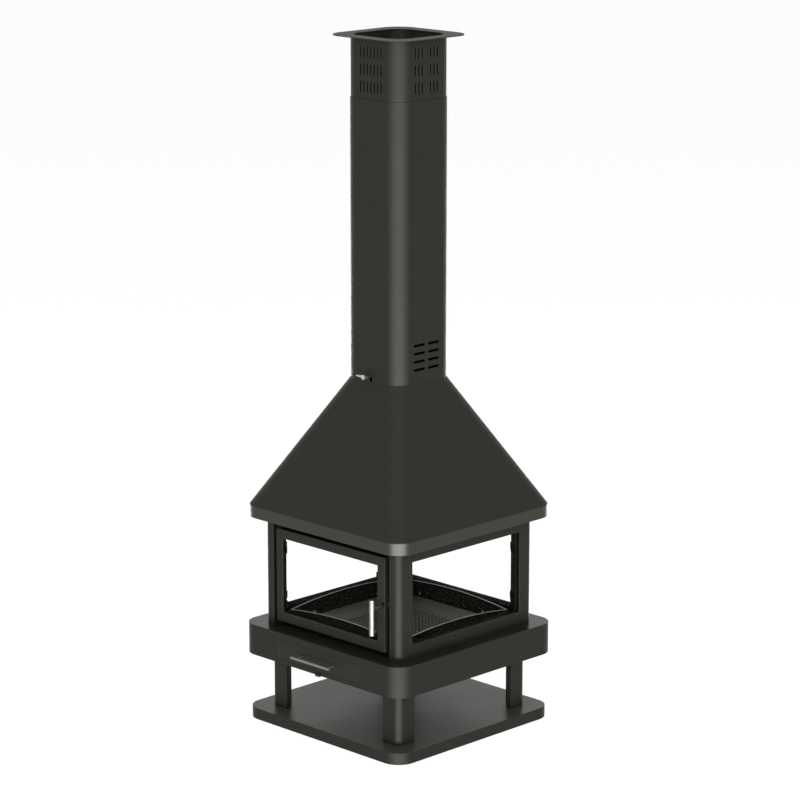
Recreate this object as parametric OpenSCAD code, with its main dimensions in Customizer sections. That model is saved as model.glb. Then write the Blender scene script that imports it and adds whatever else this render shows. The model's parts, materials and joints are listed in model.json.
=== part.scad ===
// Central wood fireplace: a glazed square firebox on four legs, under a tapered
// hood with a telescopic flue casing that reaches the ceiling.
// Millimetres. The origin is the centre of the base plate's underside, +Z is up,
// and the door faces -Y. Windows are on +X, +Y and -X.

/* [Base and legs] */
// Side of the square base plate
base_side = 800; // [720:10:1000]
// Height of the base plate's folded edge
base_h = 42; // [25:1:80]
// Radius of the base plate's corners
base_corner_r = 70; // [20:1:120]
// Sheet of the base plate, the legs, the hearth box and the firebox
sheet = 3; // [2:0.5:5]
// Side of the square that goes round the four legs
leg_square = 659; // [560:1:680]
// Width of each leg's two faces
leg_w = 78; // [60:1:110]
// Height of the legs
leg_h = 206; // [120:1:400]
// Radius of a leg's outer corner
leg_corner_r = 27; // [8:1:40]
// Depth of the returns along a leg's free edges
leg_return = 23; // [10:1:28]
// Thread diameter of the leg bolts
leg_bolt_d = 8; // [6:1:12]

/* [Hearth box] */
// How far the hearth box stands out past the firebox on each side
hearth_overhang = 63; // [40:1:150]
// Height of the hearth box
hearth_h = 114; // [110:1:200]
// Radius of the hearth box's corners
hearth_corner_r = 70; // [20:1:110]
// Depth of the hearth floor below the top of the hearth box
floor_drop = 4; // [2:1:10]
// Thickness of the cast hearth floor
floor_t = 10; // [9:1:14]
// Side of the square grate
grate_side = 320; // [200:2:380]
// Thickness of the grate
grate_t = 7; // [5:0.5:8]
// Width of a square hole in the grate
grate_hole_w = 9.5; // [6:0.5:12]
// Spacing of the grate's holes
grate_pitch = 17.4; // [15:0.2:24]

/* [Log retainers] */
// Distance of the log retainers from the edge of the cast floor
retainer_inset = 14; // [13:1:40]
// Thickness of a log retainer
retainer_t = 5; // [3:0.5:8]
// Height of a retainer at its ends
retainer_end_h = 47; // [40:1:80]
// Rise of a retainer's arched edge at its middle
retainer_rise = 20; // [8:1:40]
// Distance of a retainer's bolts from its ends
retainer_bolt_inset = 118; // [60:1:160]
// Thread diameter of the retainer bolts
retainer_bolt_d = 6; // [4:1:8]

/* [Firebox] */
// Side of the square firebox
firebox_side = 688; // [670:2:704]
// Height of the firebox from the hearth to the hood
firebox_h = 400; // [390:1:520]
// Radius of the firebox's corners
firebox_corner_r = 27; // [8:1:34]
// Width of the sheet beside each window opening
window_post = 69; // [60:1:120]
// Height of the sill under each window
window_sill = 49; // [40:1:60]
// Height of the sheet over each window
window_head = 51; // [30:1:100]
// Depth of a window from the outside to the inner edge of its bead
window_depth = 42; // [40:1:46]
// Thickness of the ceramic glass
glass_t = 4; // [3:0.5:5]

/* [Door] */
// Width of the sheet beside the door's opening
door_post = 46; // [44:1:90]
// Height of the sheet over the door's opening
door_head = 15; // [10:1:60]
// Thickness of the door frame
door_t = 16; // [14:0.5:16]
// Open joint between the door and the firebox on every side
door_gap = 20; // [18:1:22]
// Width of the stile on the hinge side
stile_hinge = 33; // [30:1:50]
// Width of the stile on the handle side
stile_latch = 37; // [28:1:50]
// Height of the rails above and below the glass
door_rail = 33; // [28:1:50]
// Diameter of the hinge pins
hinge_pin_d = 6; // [5:0.5:7]
// Diameter of the handle's grip
grip_d = 20; // [14:1:28]
// Length of the handle's grip
grip_len = 130; // [100:1:180]
// Length of grip above the spindle
grip_above = 30; // [15:1:60]
// Distance from the door's face to the middle of the grip
grip_standoff = 54; // [35:1:80]
// Diameter of the latch spindle
spindle_d = 10; // [8:0.5:12]

/* [Ash drawer and air inlet] */
// Width of the drawer front
drawer_w = 408; // [360:2:440]
// Height of the drawer front
drawer_h = 69; // [58:1:72]
// Length of the ash pan behind the front
pan_len = 554; // [480:2:600]
// Length of the drawer's bar handle
bar_len = 195; // [120:1:300]
// Diameter of the bar handle
bar_d = 10; // [8:1:14]
// Distance from the drawer front to the middle of the bar
bar_standoff = 39; // [28:1:60]
// Width of the air slide's finger tab
tab_w = 22; // [20:1:60]
// Width of the air slide's plate
slide_w = 120; // [100:2:160]

/* [Hood] */
// How far the hood's rim stands out past the firebox on each side
hood_overhang = 56; // [40:1:150]
// Height of the upright band round the rim
skirt_h = 44; // [30:1:80]
// Radius of the hood's corners at the rim
hood_corner_r = 70; // [40:1:110]
// Height of the sloping part of the hood
cone_h = 474; // [380:1:600]
// How far the slope's lower edge stands out past the band
rim_lip = 2; // [0:0.5:4]
// Side of the smoke baffle inside the hood
baffle_side = 420; // [320:10:500]

/* [Flue and damper] */
// Outside diameter of the flue pipe that the collar takes
flue_d = 200; // [150:5:224]
// Height of the collar above the hood
collar_up = 120; // [90:1:160]
// Height of the damper shaft above the hood
damper_rise = 22; // [18:1:40]
// Diameter of the damper shaft
damper_shaft_d = 10; // [8:1:12]
// Distance from the casing to the end of the damper shaft
knob_reach = 32; // [24:1:50]
// Length of the damper knob's pointer
pointer_len = 40; // [30:1:60]

/* [Flue casing] */
// Side of the square lower casing
casing_side = 280; // [270:1:330]
// Radius of the lower casing's corners
casing_corner_r = 67; // [40:1:80]
// Sheet of the two casings
casing_sheet = 2; // [1.5:0.5:3]
// Height of the lower casing
casing_h = 1005; // [700:5:1400]
// Length of upper casing that shows at rest
upper_show = 219; // [205:1:300]
// Length of upper casing hidden inside the lower one at rest
upper_hidden = 250; // [180:1:400]
// Width of the ceiling flange
flange_side = 372; // [330:2:460]
// Radius of the ceiling flange's corners
flange_corner_r = 80; // [50:1:100]
// Thickness of the ceiling flange
flange_t = 3; // [1.5:0.5:5]
// Diameter of the ceiling flange's screw holes
flange_hole_d = 8; // [5:0.5:10]

/* [Hidden] */
$fn = 96;

// Clearances and the overrun of every cut
cut = 1;
slip = 0.3;
shaft_fit = 0.05;
panel_gap = 1;
rattle = 0.5;

// Colours
powder_black = [0.20, 0.21, 0.19];
band_black = [0.27, 0.27, 0.25];
inner_black = [0.12, 0.12, 0.11];
cast_black = [0.17, 0.17, 0.16];
bright_steel = [0.78, 0.78, 0.76];
dull_steel = [0.50, 0.50, 0.49];
rope_grey = [0.35, 0.34, 0.31];
clear_glass = [0.80, 0.90, 0.92, 0.35];

// Heights of the main joints, from the floor up
z_base = base_h;
z_leg = z_base + leg_h;
z_hearth = z_leg + hearth_h;
z_fire = z_hearth + firebox_h;
z_skirt = z_fire + skirt_h;
z_slope = z_skirt + cone_h;
z_casing = z_slope + casing_h;
z_top = z_casing + upper_show;

// Legs and their bolts
rib_w = 4;
edge_half = base_side / 2 - base_corner_r;
leg_half = leg_square / 2;
leg_mid = leg_half - leg_w / 2;
bolt_hole_d = leg_bolt_d + panel_gap;
head_w_share = 1.7;
head_h_share = 0.6;
nut_h_share = 0.8;
bolt_end = 1.5;
bolt_head_d = head_w_share * leg_bolt_d;
bolt_head_h = head_h_share * leg_bolt_d;
bolt_nut_h = nut_h_share * leg_bolt_d;

// Hearth box, its tray and its grate
hearth_side = firebox_side + 2 * hearth_overhang;
hearth_half = hearth_side / 2;
front_half = hearth_half - hearth_corner_r;
fire_half = firebox_side / 2;
lining_half = fire_half - window_depth;
tray_lap = 8;
tray_half = lining_half - tray_lap;
tray_wall = 3;
z_floor = z_hearth - floor_drop;
z_tray = z_floor - floor_t;
grate_gap = 0.5;
grate_ledge = 10;
grate_border = 14;
hole_count = floor((grate_side - 2 * grate_border - grate_hole_w) / grate_pitch) + 1;

// Log retainers
retainer_half = tray_half - retainer_inset;
retainer_bolt_x = retainer_half - retainer_bolt_inset;
retainer_bolt_rise = 14;
bracket_t = 3;
bracket_w = 20;
bracket_h = 22;
bracket_foot = 9;
retainer_head_d = head_w_share * retainer_bolt_d;
retainer_head_h = head_h_share * retainer_bolt_d;

// Windows: depths count inwards from the firebox's outer face
window_lap = 10;
frame_w = 15;
frame_step = 2;
frame_depth = 18;
gasket_t = 1.5;
gasket_w = 9;
frame_end = sheet + frame_depth;
glass_out = frame_end + gasket_t;
glass_in = glass_out + glass_t;
window_w = firebox_side - 2 * window_post;
window_h = firebox_h - window_sill - window_head;
z_window = z_hearth + window_sill;
clip_sheet = 2;
clip_h = 26;
clip_reach = 9;
clip_base = 13;
clip_low_share = 0.155;
clip_high_share = 0.775;
clip_top_share = 0.347;
clip_screw_d = 4;
clip_head_d = 8;
clip_head_h = 2.4;
clip_screw_len = 8;

// Door
door_proud = 2;
opening_half = fire_half - door_post;
door_half = opening_half - door_gap;
door_h = firebox_h - 2 * door_gap - door_head;
y_door = -fire_half - door_proud;
y_door_back = y_door + door_t;
z_door = z_hearth + door_gap;
z_door_top = z_door + door_h;
opening_return = 13;
pane_left = -door_half + stile_hinge;
pane_right = door_half - stile_latch;
pane_low = z_door + door_rail;
pane_high = z_door_top - door_rail;
pane_lip = 4;
pane_lap = 9;
pane_rebate = 10;
bead_edge = 1;
rope_w = 7;
rope_inset = 5.5;
rope_gap = 3;
stop_reach = 14;
stop_h = 28;
stop_t = 2;
stop_low_share = 0.12;
stop_high_share = 0.85;
seat_depth = 12;
seat_lap = 13;
seat_w = 30;
seat_plate = 3;
y_seat = y_door_back + rope_gap;
y_seat_back = y_seat + seat_depth;

// Hinge
pivot_inset = 5;
x_pivot = -door_half + pivot_inset;
y_pivot = y_door + pivot_inset;
pin_len = 12;
pivot_block_w = 28;
pivot_block_d = 14;

// Handle and latch
spindle_inset = 10;
x_spindle = door_half - spindle_inset;
z_spindle = z_door + door_h / 2;
y_grip = y_door - grip_standoff;
bush_wall = 4;
bush_d = spindle_d + 2 * bush_wall;
bush_len = 8;
cam_len = 30;
cam_w = 14;
cam_t = 6;
cam_gap = 0.4;
y_cam = y_seat_back + cam_gap;
notch_gap = 3;
grip_round = 1;

// Ash drawer
drawer_half = drawer_w / 2;
drawer_rise = 16;
z_drawer = z_leg + drawer_rise;
pan_sheet = 1.5;
pan_inset = 14;
pan_half = drawer_half - pan_inset;
pan_rise = 4;
pan_h = 50;
runner_sheet = 3;
runner_ledge = 14;
runner_wall_h = 22;
bar_post_d = 8;
bar_post_inset = 17;
bar_height_share = 0.54;
z_bar = z_drawer + bar_height_share * drawer_h;

// Air slide under the hearth box
slide_t = 3;
slide_len = 110;
slide_neck = 14;
tab_front = 2;
tab_h = 11;
guide_t = 3;
guide_lip = 11;
inlet_len = 30;
inlet_w_share = 0.34;
inlet_w = inlet_w_share * slide_w;
inlet_back = 60;

// Hood
hood_side = firebox_side + 2 * hood_overhang;
soffit_open = lining_half;
skirt_return = 20;
top_plate = 3;
casing_half = casing_side / 2;
slope_wall = 3.4;
slope_foot = 2;
hull_fn = 48;
baffle_t = 4;
baffle_up = 65;
hanger_w = 30;
hanger_t = 4;

// Flue and damper
socket_play = 0.5;
socket_r = flue_d / 2 + socket_play;
socket_len = 70;
collar_wall = 3;
collar_r = socket_r + collar_wall;
throat_r = socket_r - collar_wall - socket_play;
collar_down = 30;
collar_gap = 14.5;
z_damper = z_slope + damper_rise;
damper_gap = 4;
damper_r = throat_r - damper_gap;
damper_t = 3;
shaft_flat = 1;
shaft_end = 6;
damper_screw_d = 5;
damper_screw_head = 9;
damper_screw_head_h = 2.5;
knob_d = 18;
knob_len = 14;
pointer_root_d = 12;
pointer_tip_d = 5;

// Casings and ceiling flange
casing_inner = casing_side - 2 * casing_sheet;
casing_inner_r = casing_corner_r - casing_sheet;
upper_side = casing_inner - 2 * slip;
upper_corner_r = casing_inner_r - slip;
notch_w = 14;
index_r = 26;
index_d = 5;
index_step = 30;
vent_w = 57;
vent_h = 10;
vent_pitch = 29.3;
vent_rows = 4;
vent_mid = 35.5;
vent_rise = 50;
louvre_w = 7;
louvre_h = 39.5;
louvre_pitch = 17;
louvre_row_pitch = 60.8;
louvre_rows = 3;
louvre_drop = 54;
louvre_half_count = 3;
louvre_side_shift = 3.4;
flange_lip = 6;
flange_hole_edge = 36;

// Shapes that repeat

module rounded_square(side, radius) {
    square([side, side - 2 * radius], center = true);
    square([side - 2 * radius, side], center = true);
    for (x = [-1, 1])
        for (y = [-1, 1])
            translate([x * (side / 2 - radius), y * (side / 2 - radius)])
                circle(r = radius);
}

module rounded_block(side, radius, low, high) {
    translate([0, 0, low])
        linear_extrude(high - low)
            rounded_square(side, radius);
}

module block(low, high) {
    translate(low)
        cube(high - low);
}

// A slot with round ends, lying along X, centred
module slot(len, wide) {
    square([len - wide, wide], center = true);
    for (x = [-1, 1])
        translate([x * (len - wide) / 2, 0])
            circle(d = wide, $fn = 32);
}

// Turns a piece drawn for the front face to the right, back or left face
module on_side(quarter) {
    rotate([0, 0, 90 * quarter])
        children();
}

// A rod along Y between two places
module rod_y(x, z, from, to, d) {
    translate([x, from, z])
        rotate([-90, 0, 0])
            cylinder(d = d, h = to - from);
}

// Base and legs

// The plate with its four round corners, a pan that is open below and stands on its edge
module base_plate() {
    color(powder_black)
        difference() {
            rounded_block(base_side, base_corner_r, 0, z_base);
            rounded_block(base_side - 2 * sheet, base_corner_r - sheet, -cut, z_base - sheet);
            for (side = [0 : 3])
                on_side(side)
                    block([-edge_half, -base_side / 2 - cut, -cut],
                          [edge_half, -base_side / 2 + sheet + cut, z_base - sheet]);
            for (x = [-1, 1])
                for (y = [-1, 1])
                    translate([x * leg_mid, y * leg_mid, z_base - sheet - cut])
                        cylinder(d = bolt_hole_d, h = sheet + 2 * cut);
        }
}

// The four flat sides of the plate's folded edge, and the cross of ribs welded under the
// plate, which also stands on the floor
module base_edge() {
    high = z_base - sheet;
    reach = base_side / 2 - sheet - slip;
    color(powder_black) {
        for (side = [0 : 3])
            on_side(side)
                block([-edge_half, -base_side / 2, 0], [edge_half, -base_side / 2 + sheet, high]);
        block([-reach, -rib_w / 2, 0], [reach, rib_w / 2, high]);
        for (side = [0, 2])
            on_side(side)
                block([-rib_w / 2, rib_w / 2 + slip, 0], [rib_w / 2, reach, high]);
    }
}

// One leg in the corner where X and Y are both positive
module leg_profile() {
    intersection() {
        difference() {
            rounded_square(leg_square, leg_corner_r);
            rounded_square(leg_square - 2 * sheet, leg_corner_r - sheet);
        }
        translate([leg_half - leg_w, leg_half - leg_w])
            square(leg_w + cut);
    }
    translate([leg_half - leg_w, leg_half - leg_return])
        square([sheet, leg_return]);
    translate([leg_half - leg_return, leg_half - leg_w])
        square([leg_return, sheet]);
}

// The end plate of a leg, cut off on the slant between its two returns
module leg_foot() {
    inner = leg_half - leg_w + sheet / 2;
    tip = leg_half - leg_return;
    intersection() {
        rounded_square(leg_square - sheet, leg_corner_r - sheet / 2);
        polygon([[inner, tip], [tip, inner], [leg_half, inner], [leg_half, leg_half], [inner, leg_half]]);
    }
}

module leg() {
    color(powder_black)
        difference() {
            union() {
                translate([0, 0, z_base])
                    linear_extrude(leg_h)
                        leg_profile();
                for (low = [z_base, z_leg - sheet])
                    translate([0, 0, low])
                        linear_extrude(sheet)
                            leg_foot();
            }
            translate([leg_mid, leg_mid, z_base - cut])
                cylinder(d = bolt_hole_d, h = leg_h + 2 * cut);
        }
}

module leg_front_left() {
    mirror([1, 0, 0])
        mirror([0, 1, 0])
            leg();
}

module leg_front_right() {
    mirror([0, 1, 0])
        leg();
}

module leg_back_left() {
    mirror([1, 0, 0])
        leg();
}

module leg_back_right() {
    leg();
}

// A bolt that clamps the stack between two heights, with its head at the bottom
module bolt(low, high) {
    translate([0, 0, low - bolt_head_h])
        cylinder(d = bolt_head_d, h = bolt_head_h, $fn = 6);
    translate([0, 0, low - bolt_head_h / 2])
        cylinder(d = leg_bolt_d, h = high - low + bolt_head_h / 2 + bolt_nut_h + bolt_end);
    translate([0, 0, high])
        cylinder(d = bolt_head_d, h = bolt_nut_h, $fn = 6);
}

module leg_bolts() {
    color(dull_steel)
        for (x = [-1, 1])
            for (y = [-1, 1])
                translate([x * leg_mid, y * leg_mid, 0]) {
                    bolt(z_base - sheet, z_base + sheet);
                    bolt(z_leg - sheet, z_leg + sheet);
                }
}

// Hearth box, floor and grate

// The box without the flat middle of its front wall, which is the front panel
module hearth_box() {
    color(powder_black)
        difference() {
            rounded_block(hearth_side, hearth_corner_r, z_leg, z_hearth);
            rounded_block(hearth_side - 2 * sheet, hearth_corner_r - sheet,
                          z_leg + sheet, z_hearth - sheet);
            block([-tray_half - slip, -tray_half - slip, z_hearth - sheet - cut],
                  [tray_half + slip, tray_half + slip, z_hearth + cut]);
            block([-front_half, -hearth_half - cut, z_leg + sheet],
                  [front_half, -hearth_half + sheet + cut, z_hearth - sheet]);
            for (x = [-1, 1])
                translate([x * slide_w / 4, -hearth_half + inlet_back + inlet_len / 2, z_leg - cut])
                    linear_extrude(sheet + 2 * cut)
                        square([inlet_w, inlet_len], center = true);
            for (x = [-1, 1])
                for (y = [-1, 1])
                    translate([x * leg_mid, y * leg_mid, z_leg - cut])
                        cylinder(d = bolt_hole_d, h = sheet + 2 * cut);
        }
}

// The front panel, welded in between the corners, with the drawer's opening
module hearth_front() {
    color(powder_black)
        difference() {
            block([-front_half, -hearth_half, z_leg + sheet],
                  [front_half, -hearth_half + sheet, z_hearth - sheet]);
            block([-drawer_half - panel_gap, -hearth_half - cut, z_drawer - panel_gap],
                  [drawer_half + panel_gap, -hearth_half + sheet + cut, z_drawer + drawer_h + panel_gap]);
        }
}

module hearth_tray() {
    recess = grate_side / 2 + grate_gap;
    through = recess - grate_ledge;
    color(cast_black)
        difference() {
            union() {
                block([-tray_half, -tray_half, z_tray], [tray_half, tray_half, z_hearth + cut]);
                block([-lining_half + panel_gap, -lining_half + panel_gap, z_hearth],
                      [lining_half - panel_gap, lining_half - panel_gap, z_hearth + tray_wall]);
            }
            block([-tray_half + tray_wall, -tray_half + tray_wall, z_floor],
                  [tray_half - tray_wall, tray_half - tray_wall, z_hearth + tray_wall + cut]);
            block([-recess, -recess, z_floor - grate_t], [recess, recess, z_floor + cut]);
            block([-through, -through, z_tray - cut], [through, through, z_floor]);
        }
}

module grate_holes() {
    first = -(hole_count - 1) / 2 * grate_pitch;
    for (column = [0 : hole_count - 1])
        for (row = [0 : hole_count - 1])
            translate([first + column * grate_pitch, first + row * grate_pitch])
                square(grate_hole_w, center = true);
}

module grate() {
    color(cast_black)
        translate([0, 0, z_floor - grate_t])
            linear_extrude(grate_t)
                difference() {
                    square(grate_side, center = true);
                    grate_holes();
                }
}

// Log retainers: arched plates on edge round the floor

module retainer(half_len) {
    arch_r = (half_len * half_len + retainer_rise * retainer_rise) / (2 * retainer_rise);
    color(cast_black)
        translate([0, -retainer_half + retainer_t, z_floor])
            rotate([90, 0, 0])
                linear_extrude(retainer_t)
                    difference() {
                        intersection() {
                            translate([-half_len, 0])
                                square([2 * half_len, retainer_end_h + retainer_rise]);
                            translate([0, retainer_end_h + retainer_rise - arch_r])
                                circle(r = arch_r, $fn = 720);
                        }
                        for (x = [-1, 1])
                            translate([x * retainer_bolt_x, retainer_bolt_rise])
                                circle(d = retainer_bolt_d + slip);
                    }
}

module retainer_front() {
    retainer(retainer_half);
}

module retainer_back() {
    on_side(2)
        retainer(retainer_half);
}

module retainer_left() {
    on_side(3)
        retainer(retainer_half - retainer_t - slip);
}

module retainer_right() {
    on_side(1)
        retainer(retainer_half - retainer_t - slip);
}

module retainer_brackets() {
    color(inner_black)
        for (side = [0 : 3])
            for (x = [-1, 1])
                on_side(side)
                    translate([x * retainer_bolt_x, -retainer_half, z_floor])
                        difference() {
                            union() {
                                block([-bracket_w / 2, -bracket_t, 0], [bracket_w / 2, 0, bracket_h]);
                                block([-bracket_w / 2, -bracket_foot, 0], [bracket_w / 2, 0, bracket_t]);
                            }
                            rod_y(0, retainer_bolt_rise, -bracket_t - cut, cut, retainer_bolt_d + slip);
                        }
}

module retainer_bolts() {
    inner = -retainer_half + retainer_t;
    outer = -retainer_half - bracket_t;
    color(dull_steel)
        for (side = [0 : 3])
            for (x = [-1, 1])
                on_side(side) {
                    place = x * retainer_bolt_x;
                    height = z_floor + retainer_bolt_rise;
                    rod_y(place, height, outer - retainer_head_h, inner + retainer_head_h / 2,
                          retainer_bolt_d);
                    rod_y(place, height, inner, inner + retainer_head_h, retainer_head_d);
                    rod_y(place, height, outer - retainer_head_h, outer, retainer_head_d);
                }
}

// Firebox: one wrapped sheet with three windows and the door opening

module firebox_shell() {
    inner_half = fire_half - sheet;
    color(powder_black)
        difference() {
            union() {
                difference() {
                    rounded_block(firebox_side, firebox_corner_r, z_hearth, z_fire);
                    rounded_block(firebox_side - 2 * sheet, firebox_corner_r - sheet,
                                  z_hearth - cut, z_fire + cut);
                }
                for (x = [-1, 1])
                    translate([x * (opening_half + sheet / 2), -fire_half + opening_return / 2, z_hearth])
                        linear_extrude(door_gap + door_h + door_gap)
                            square([sheet, opening_return], center = true);
            }
            for (side = [1 : 3])
                on_side(side)
                    block([-window_w / 2, -fire_half - cut, z_window],
                          [window_w / 2, -inner_half + cut, z_window + window_h]);
            block([-opening_half, -fire_half - cut, z_hearth - cut],
                  [opening_half, -inner_half + cut, z_door_top + door_gap]);
        }
}

// A flat ring in the plane of the front face
module ring(outer_low, outer_high, inner_low, inner_high, from, to) {
    difference() {
        block([outer_low[0], from, outer_low[1]], [outer_high[0], to, outer_high[1]]);
        block([inner_low[0], from - cut, inner_low[1]], [inner_high[0], to + cut, inner_high[1]]);
    }
}

// A ring round the window opening: its inner and outer edges stand this far outside it
module window_ring(inner_edge, outer_edge, from, to) {
    half = window_w / 2;
    ring([-half - outer_edge, z_window - outer_edge],
         [half + outer_edge, z_window + window_h + outer_edge],
         [-half - inner_edge, z_window - inner_edge],
         [half + inner_edge, z_window + window_h + inner_edge],
         -fire_half + from, -fire_half + to);
}

module window_frames() {
    color(inner_black)
        for (side = [1 : 3])
            on_side(side)
                window_ring(frame_step, frame_w, sheet, frame_end);
}

module window_glass() {
    half = window_w / 2 + window_lap;
    color(clear_glass)
        block([-half, -fire_half + glass_out, z_window - window_lap],
              [half, -fire_half + glass_in, z_window + window_h + window_lap]);
}

module glass_right() {
    on_side(1)
        window_glass();
}

module glass_back() {
    on_side(2)
        window_glass();
}

module glass_left() {
    on_side(3)
        window_glass();
}

module glass_seals() {
    color(rope_grey)
        for (side = [1 : 3])
            on_side(side)
                window_ring(frame_step, frame_step + gasket_w - panel_gap, frame_end, glass_out);
}

// Where the clips of a window sit: along the face, up it, and which way they turn
function clip_places() =
    let (half = window_w / 2,
         low = z_window + clip_low_share * window_h,
         high = z_window + clip_high_share * window_h)
    [[half, low, 0], [half, high, 0], [-half, low, 180], [-half, high, 180],
     [-clip_top_share * window_w, z_window + window_h, -90]];

// Screw axis of a clip, measured outwards from the edge of the opening
clip_screw_out = clip_base / 2;

module at_clip(place) {
    translate([place[0], 0, place[1]])
        rotate([0, place[2], 0])
            children();
}

module glass_bead() {
    color(inner_black)
        difference() {
            window_ring(0, frame_w, glass_in, window_depth);
            for (place = clip_places())
                at_clip(place)
                    rod_y(clip_screw_out, 0, -lining_half - clip_screw_len, -lining_half + cut,
                          clip_screw_d + slip);
        }
}

module glass_bead_right() {
    on_side(1)
        glass_bead();
}

module glass_bead_back() {
    on_side(2)
        glass_bead();
}

module glass_bead_left() {
    on_side(3)
        glass_bead();
}

// A Z-shaped clip: screwed to the bead, it runs along the bead's edge and its toe
// presses on the glass
module glass_clip() {
    inner = -lining_half;
    pane = -fire_half + glass_in;
    difference() {
        union() {
            block([-clip_sheet, inner, -clip_h / 2], [clip_base, inner + clip_sheet, clip_h / 2]);
            block([-clip_sheet, pane, -clip_h / 2], [0, inner + clip_sheet, clip_h / 2]);
            block([-clip_reach, pane, -clip_h / 2], [0, pane + clip_sheet, clip_h / 2]);
        }
        rod_y(clip_screw_out, 0, inner - cut, inner + clip_sheet + cut, clip_screw_d + slip);
    }
}

module glass_clips() {
    color(inner_black)
        for (side = [1 : 3])
            on_side(side)
                for (place = clip_places())
                    at_clip(place)
                        glass_clip();
}

module clip_screws() {
    face = -lining_half + clip_sheet;
    color(dull_steel)
        for (side = [1 : 3])
            on_side(side)
                for (place = clip_places())
                    at_clip(place) {
                        rod_y(clip_screw_out, 0, face - clip_screw_len, face + clip_head_h / 2, clip_screw_d);
                        rod_y(clip_screw_out, 0, face, face + clip_head_h, clip_head_d);
                    }
}

// Door seat: a plate with an opening round the door, and the bars in front of it that
// the door's rope closes on. A gap between two bars lets the latch cam through.

module door_seat() {
    inner_half = fire_half - sheet - slip;
    hole = door_half + panel_gap;
    color(inner_black)
        difference() {
            block([-inner_half, y_seat_back - seat_plate, z_hearth],
                  [inner_half, y_seat_back, z_fire - sheet]);
            block([-hole, y_seat - cut, z_door], [hole, y_seat_back + cut, z_door_top]);
        }
}

module seat_bars() {
    inner = door_half - seat_lap;
    outer = inner + seat_w;
    low = z_door + seat_lap;
    high = z_door_top - seat_lap;
    back = y_seat_back - seat_plate;
    color(inner_black) {
        block([-outer, y_seat, low - seat_w], [outer, back, low]);
        block([-outer, y_seat, high], [outer, back, high + seat_w]);
        block([-outer, y_seat, low + slip], [-inner, back, high - slip]);
        block([inner, y_seat, low + slip], [outer, back, z_spindle - cam_w / 2 - notch_gap]);
        block([inner, y_seat, z_spindle + cam_len + notch_gap], [outer, back, high - slip]);
    }
}

// Hinge: two fixed pins that the door's rails turn on

module lower_pivot() {
    color(dull_steel) {
        block([x_pivot - pivot_inset, y_pivot - pivot_inset, z_hearth],
              [x_pivot - pivot_inset + pivot_block_w, y_pivot - pivot_inset + pivot_block_d, z_door - slip]);
        translate([x_pivot, y_pivot, z_door - slip - cut])
            cylinder(d = hinge_pin_d, h = pin_len + cut);
    }
}

module upper_pivot() {
    high = z_door_top + door_gap;
    color(dull_steel) {
        block([x_pivot - pivot_inset, y_pivot - pivot_inset, z_door_top + slip],
              [x_pivot - pivot_inset + pivot_block_w, y_pivot - pivot_inset + pivot_block_d, high]);
        block([x_pivot - pivot_inset, -fire_half + sheet, z_door_top + slip],
              [x_pivot - pivot_inset + pivot_block_w, y_pivot - pivot_inset + pivot_block_d, z_fire - sheet]);
        translate([x_pivot, y_pivot, z_door_top + slip - pin_len])
            cylinder(d = hinge_pin_d, h = pin_len + cut);
    }
}

// Door

module door_frame() {
    pin_hole = hinge_pin_d + 2 * shaft_fit;
    color(powder_black)
        difference() {
            block([-door_half, y_door, z_door], [door_half, y_door_back, z_door_top]);
            block([pane_left, y_door - cut, pane_low], [pane_right, y_door_back + cut, pane_high]);
            block([pane_left - pane_rebate, y_door + pane_lip, pane_low - pane_rebate],
                  [pane_right + pane_rebate, y_door_back + cut, pane_high + pane_rebate]);
            translate([x_pivot, y_pivot, z_door - cut])
                cylinder(d = pin_hole, h = pin_len + 2 * cut);
            translate([x_pivot, y_pivot, z_door_top - pin_len - cut])
                cylinder(d = pin_hole, h = pin_len + 2 * cut);
            rod_y(x_spindle, z_spindle, y_door - cut, y_door_back + cut, spindle_d + 2 * shaft_fit);
        }
}

module door_glass() {
    color(clear_glass)
        block([pane_left - pane_lap, y_door + pane_lip, pane_low - pane_lap],
              [pane_right + pane_lap, y_door + pane_lip + glass_t, pane_high + pane_lap]);
}

// The bead behind the door's glass, with the stops that show at its edges
module door_bead() {
    from = y_door + pane_lip + glass_t;
    rise = pane_high - pane_low;
    color(inner_black) {
        ring([pane_left - pane_lap, pane_low - pane_lap], [pane_right + pane_lap, pane_high + pane_lap],
             [pane_left - bead_edge, pane_low - bead_edge], [pane_right + bead_edge, pane_high + bead_edge],
             from, y_door_back);
        for (share = [stop_low_share, stop_high_share]) {
            middle = pane_low + share * rise;
            block([pane_left - 2 * bead_edge, from, middle - stop_h / 2],
                  [pane_left + stop_reach, from + stop_t, middle + stop_h / 2]);
            block([pane_right - stop_reach, from, middle - stop_h / 2],
                  [pane_right + 2 * bead_edge, from + stop_t, middle + stop_h / 2]);
        }
    }
}

// Rope in the door's back, cut away round the latch
module door_seal() {
    edge = rope_inset + rope_w;
    color(rope_grey)
        difference() {
            ring([-door_half + rope_inset, z_door + rope_inset],
                 [door_half - rope_inset, z_door_top - rope_inset],
                 [-door_half + edge, z_door + edge], [door_half - edge, z_door_top - edge],
                 y_door_back, y_seat - slip);
            block([0, y_door_back - cut, z_spindle - cam_w / 2 - notch_gap],
                  [door_half, y_seat + cut, z_spindle + cam_w / 2 + notch_gap]);
        }
}

module spindle_bush() {
    color(dull_steel)
        difference() {
            rod_y(x_spindle, z_spindle, y_door - bush_len, y_door, bush_d);
            rod_y(x_spindle, z_spindle, y_door - bush_len - cut, y_door + cut, spindle_d + 2 * shaft_fit);
        }
}

module latch_spindle() {
    color(bright_steel)
        rod_y(x_spindle, z_spindle, y_grip, y_cam + cam_t + cut, spindle_d);
}

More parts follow.
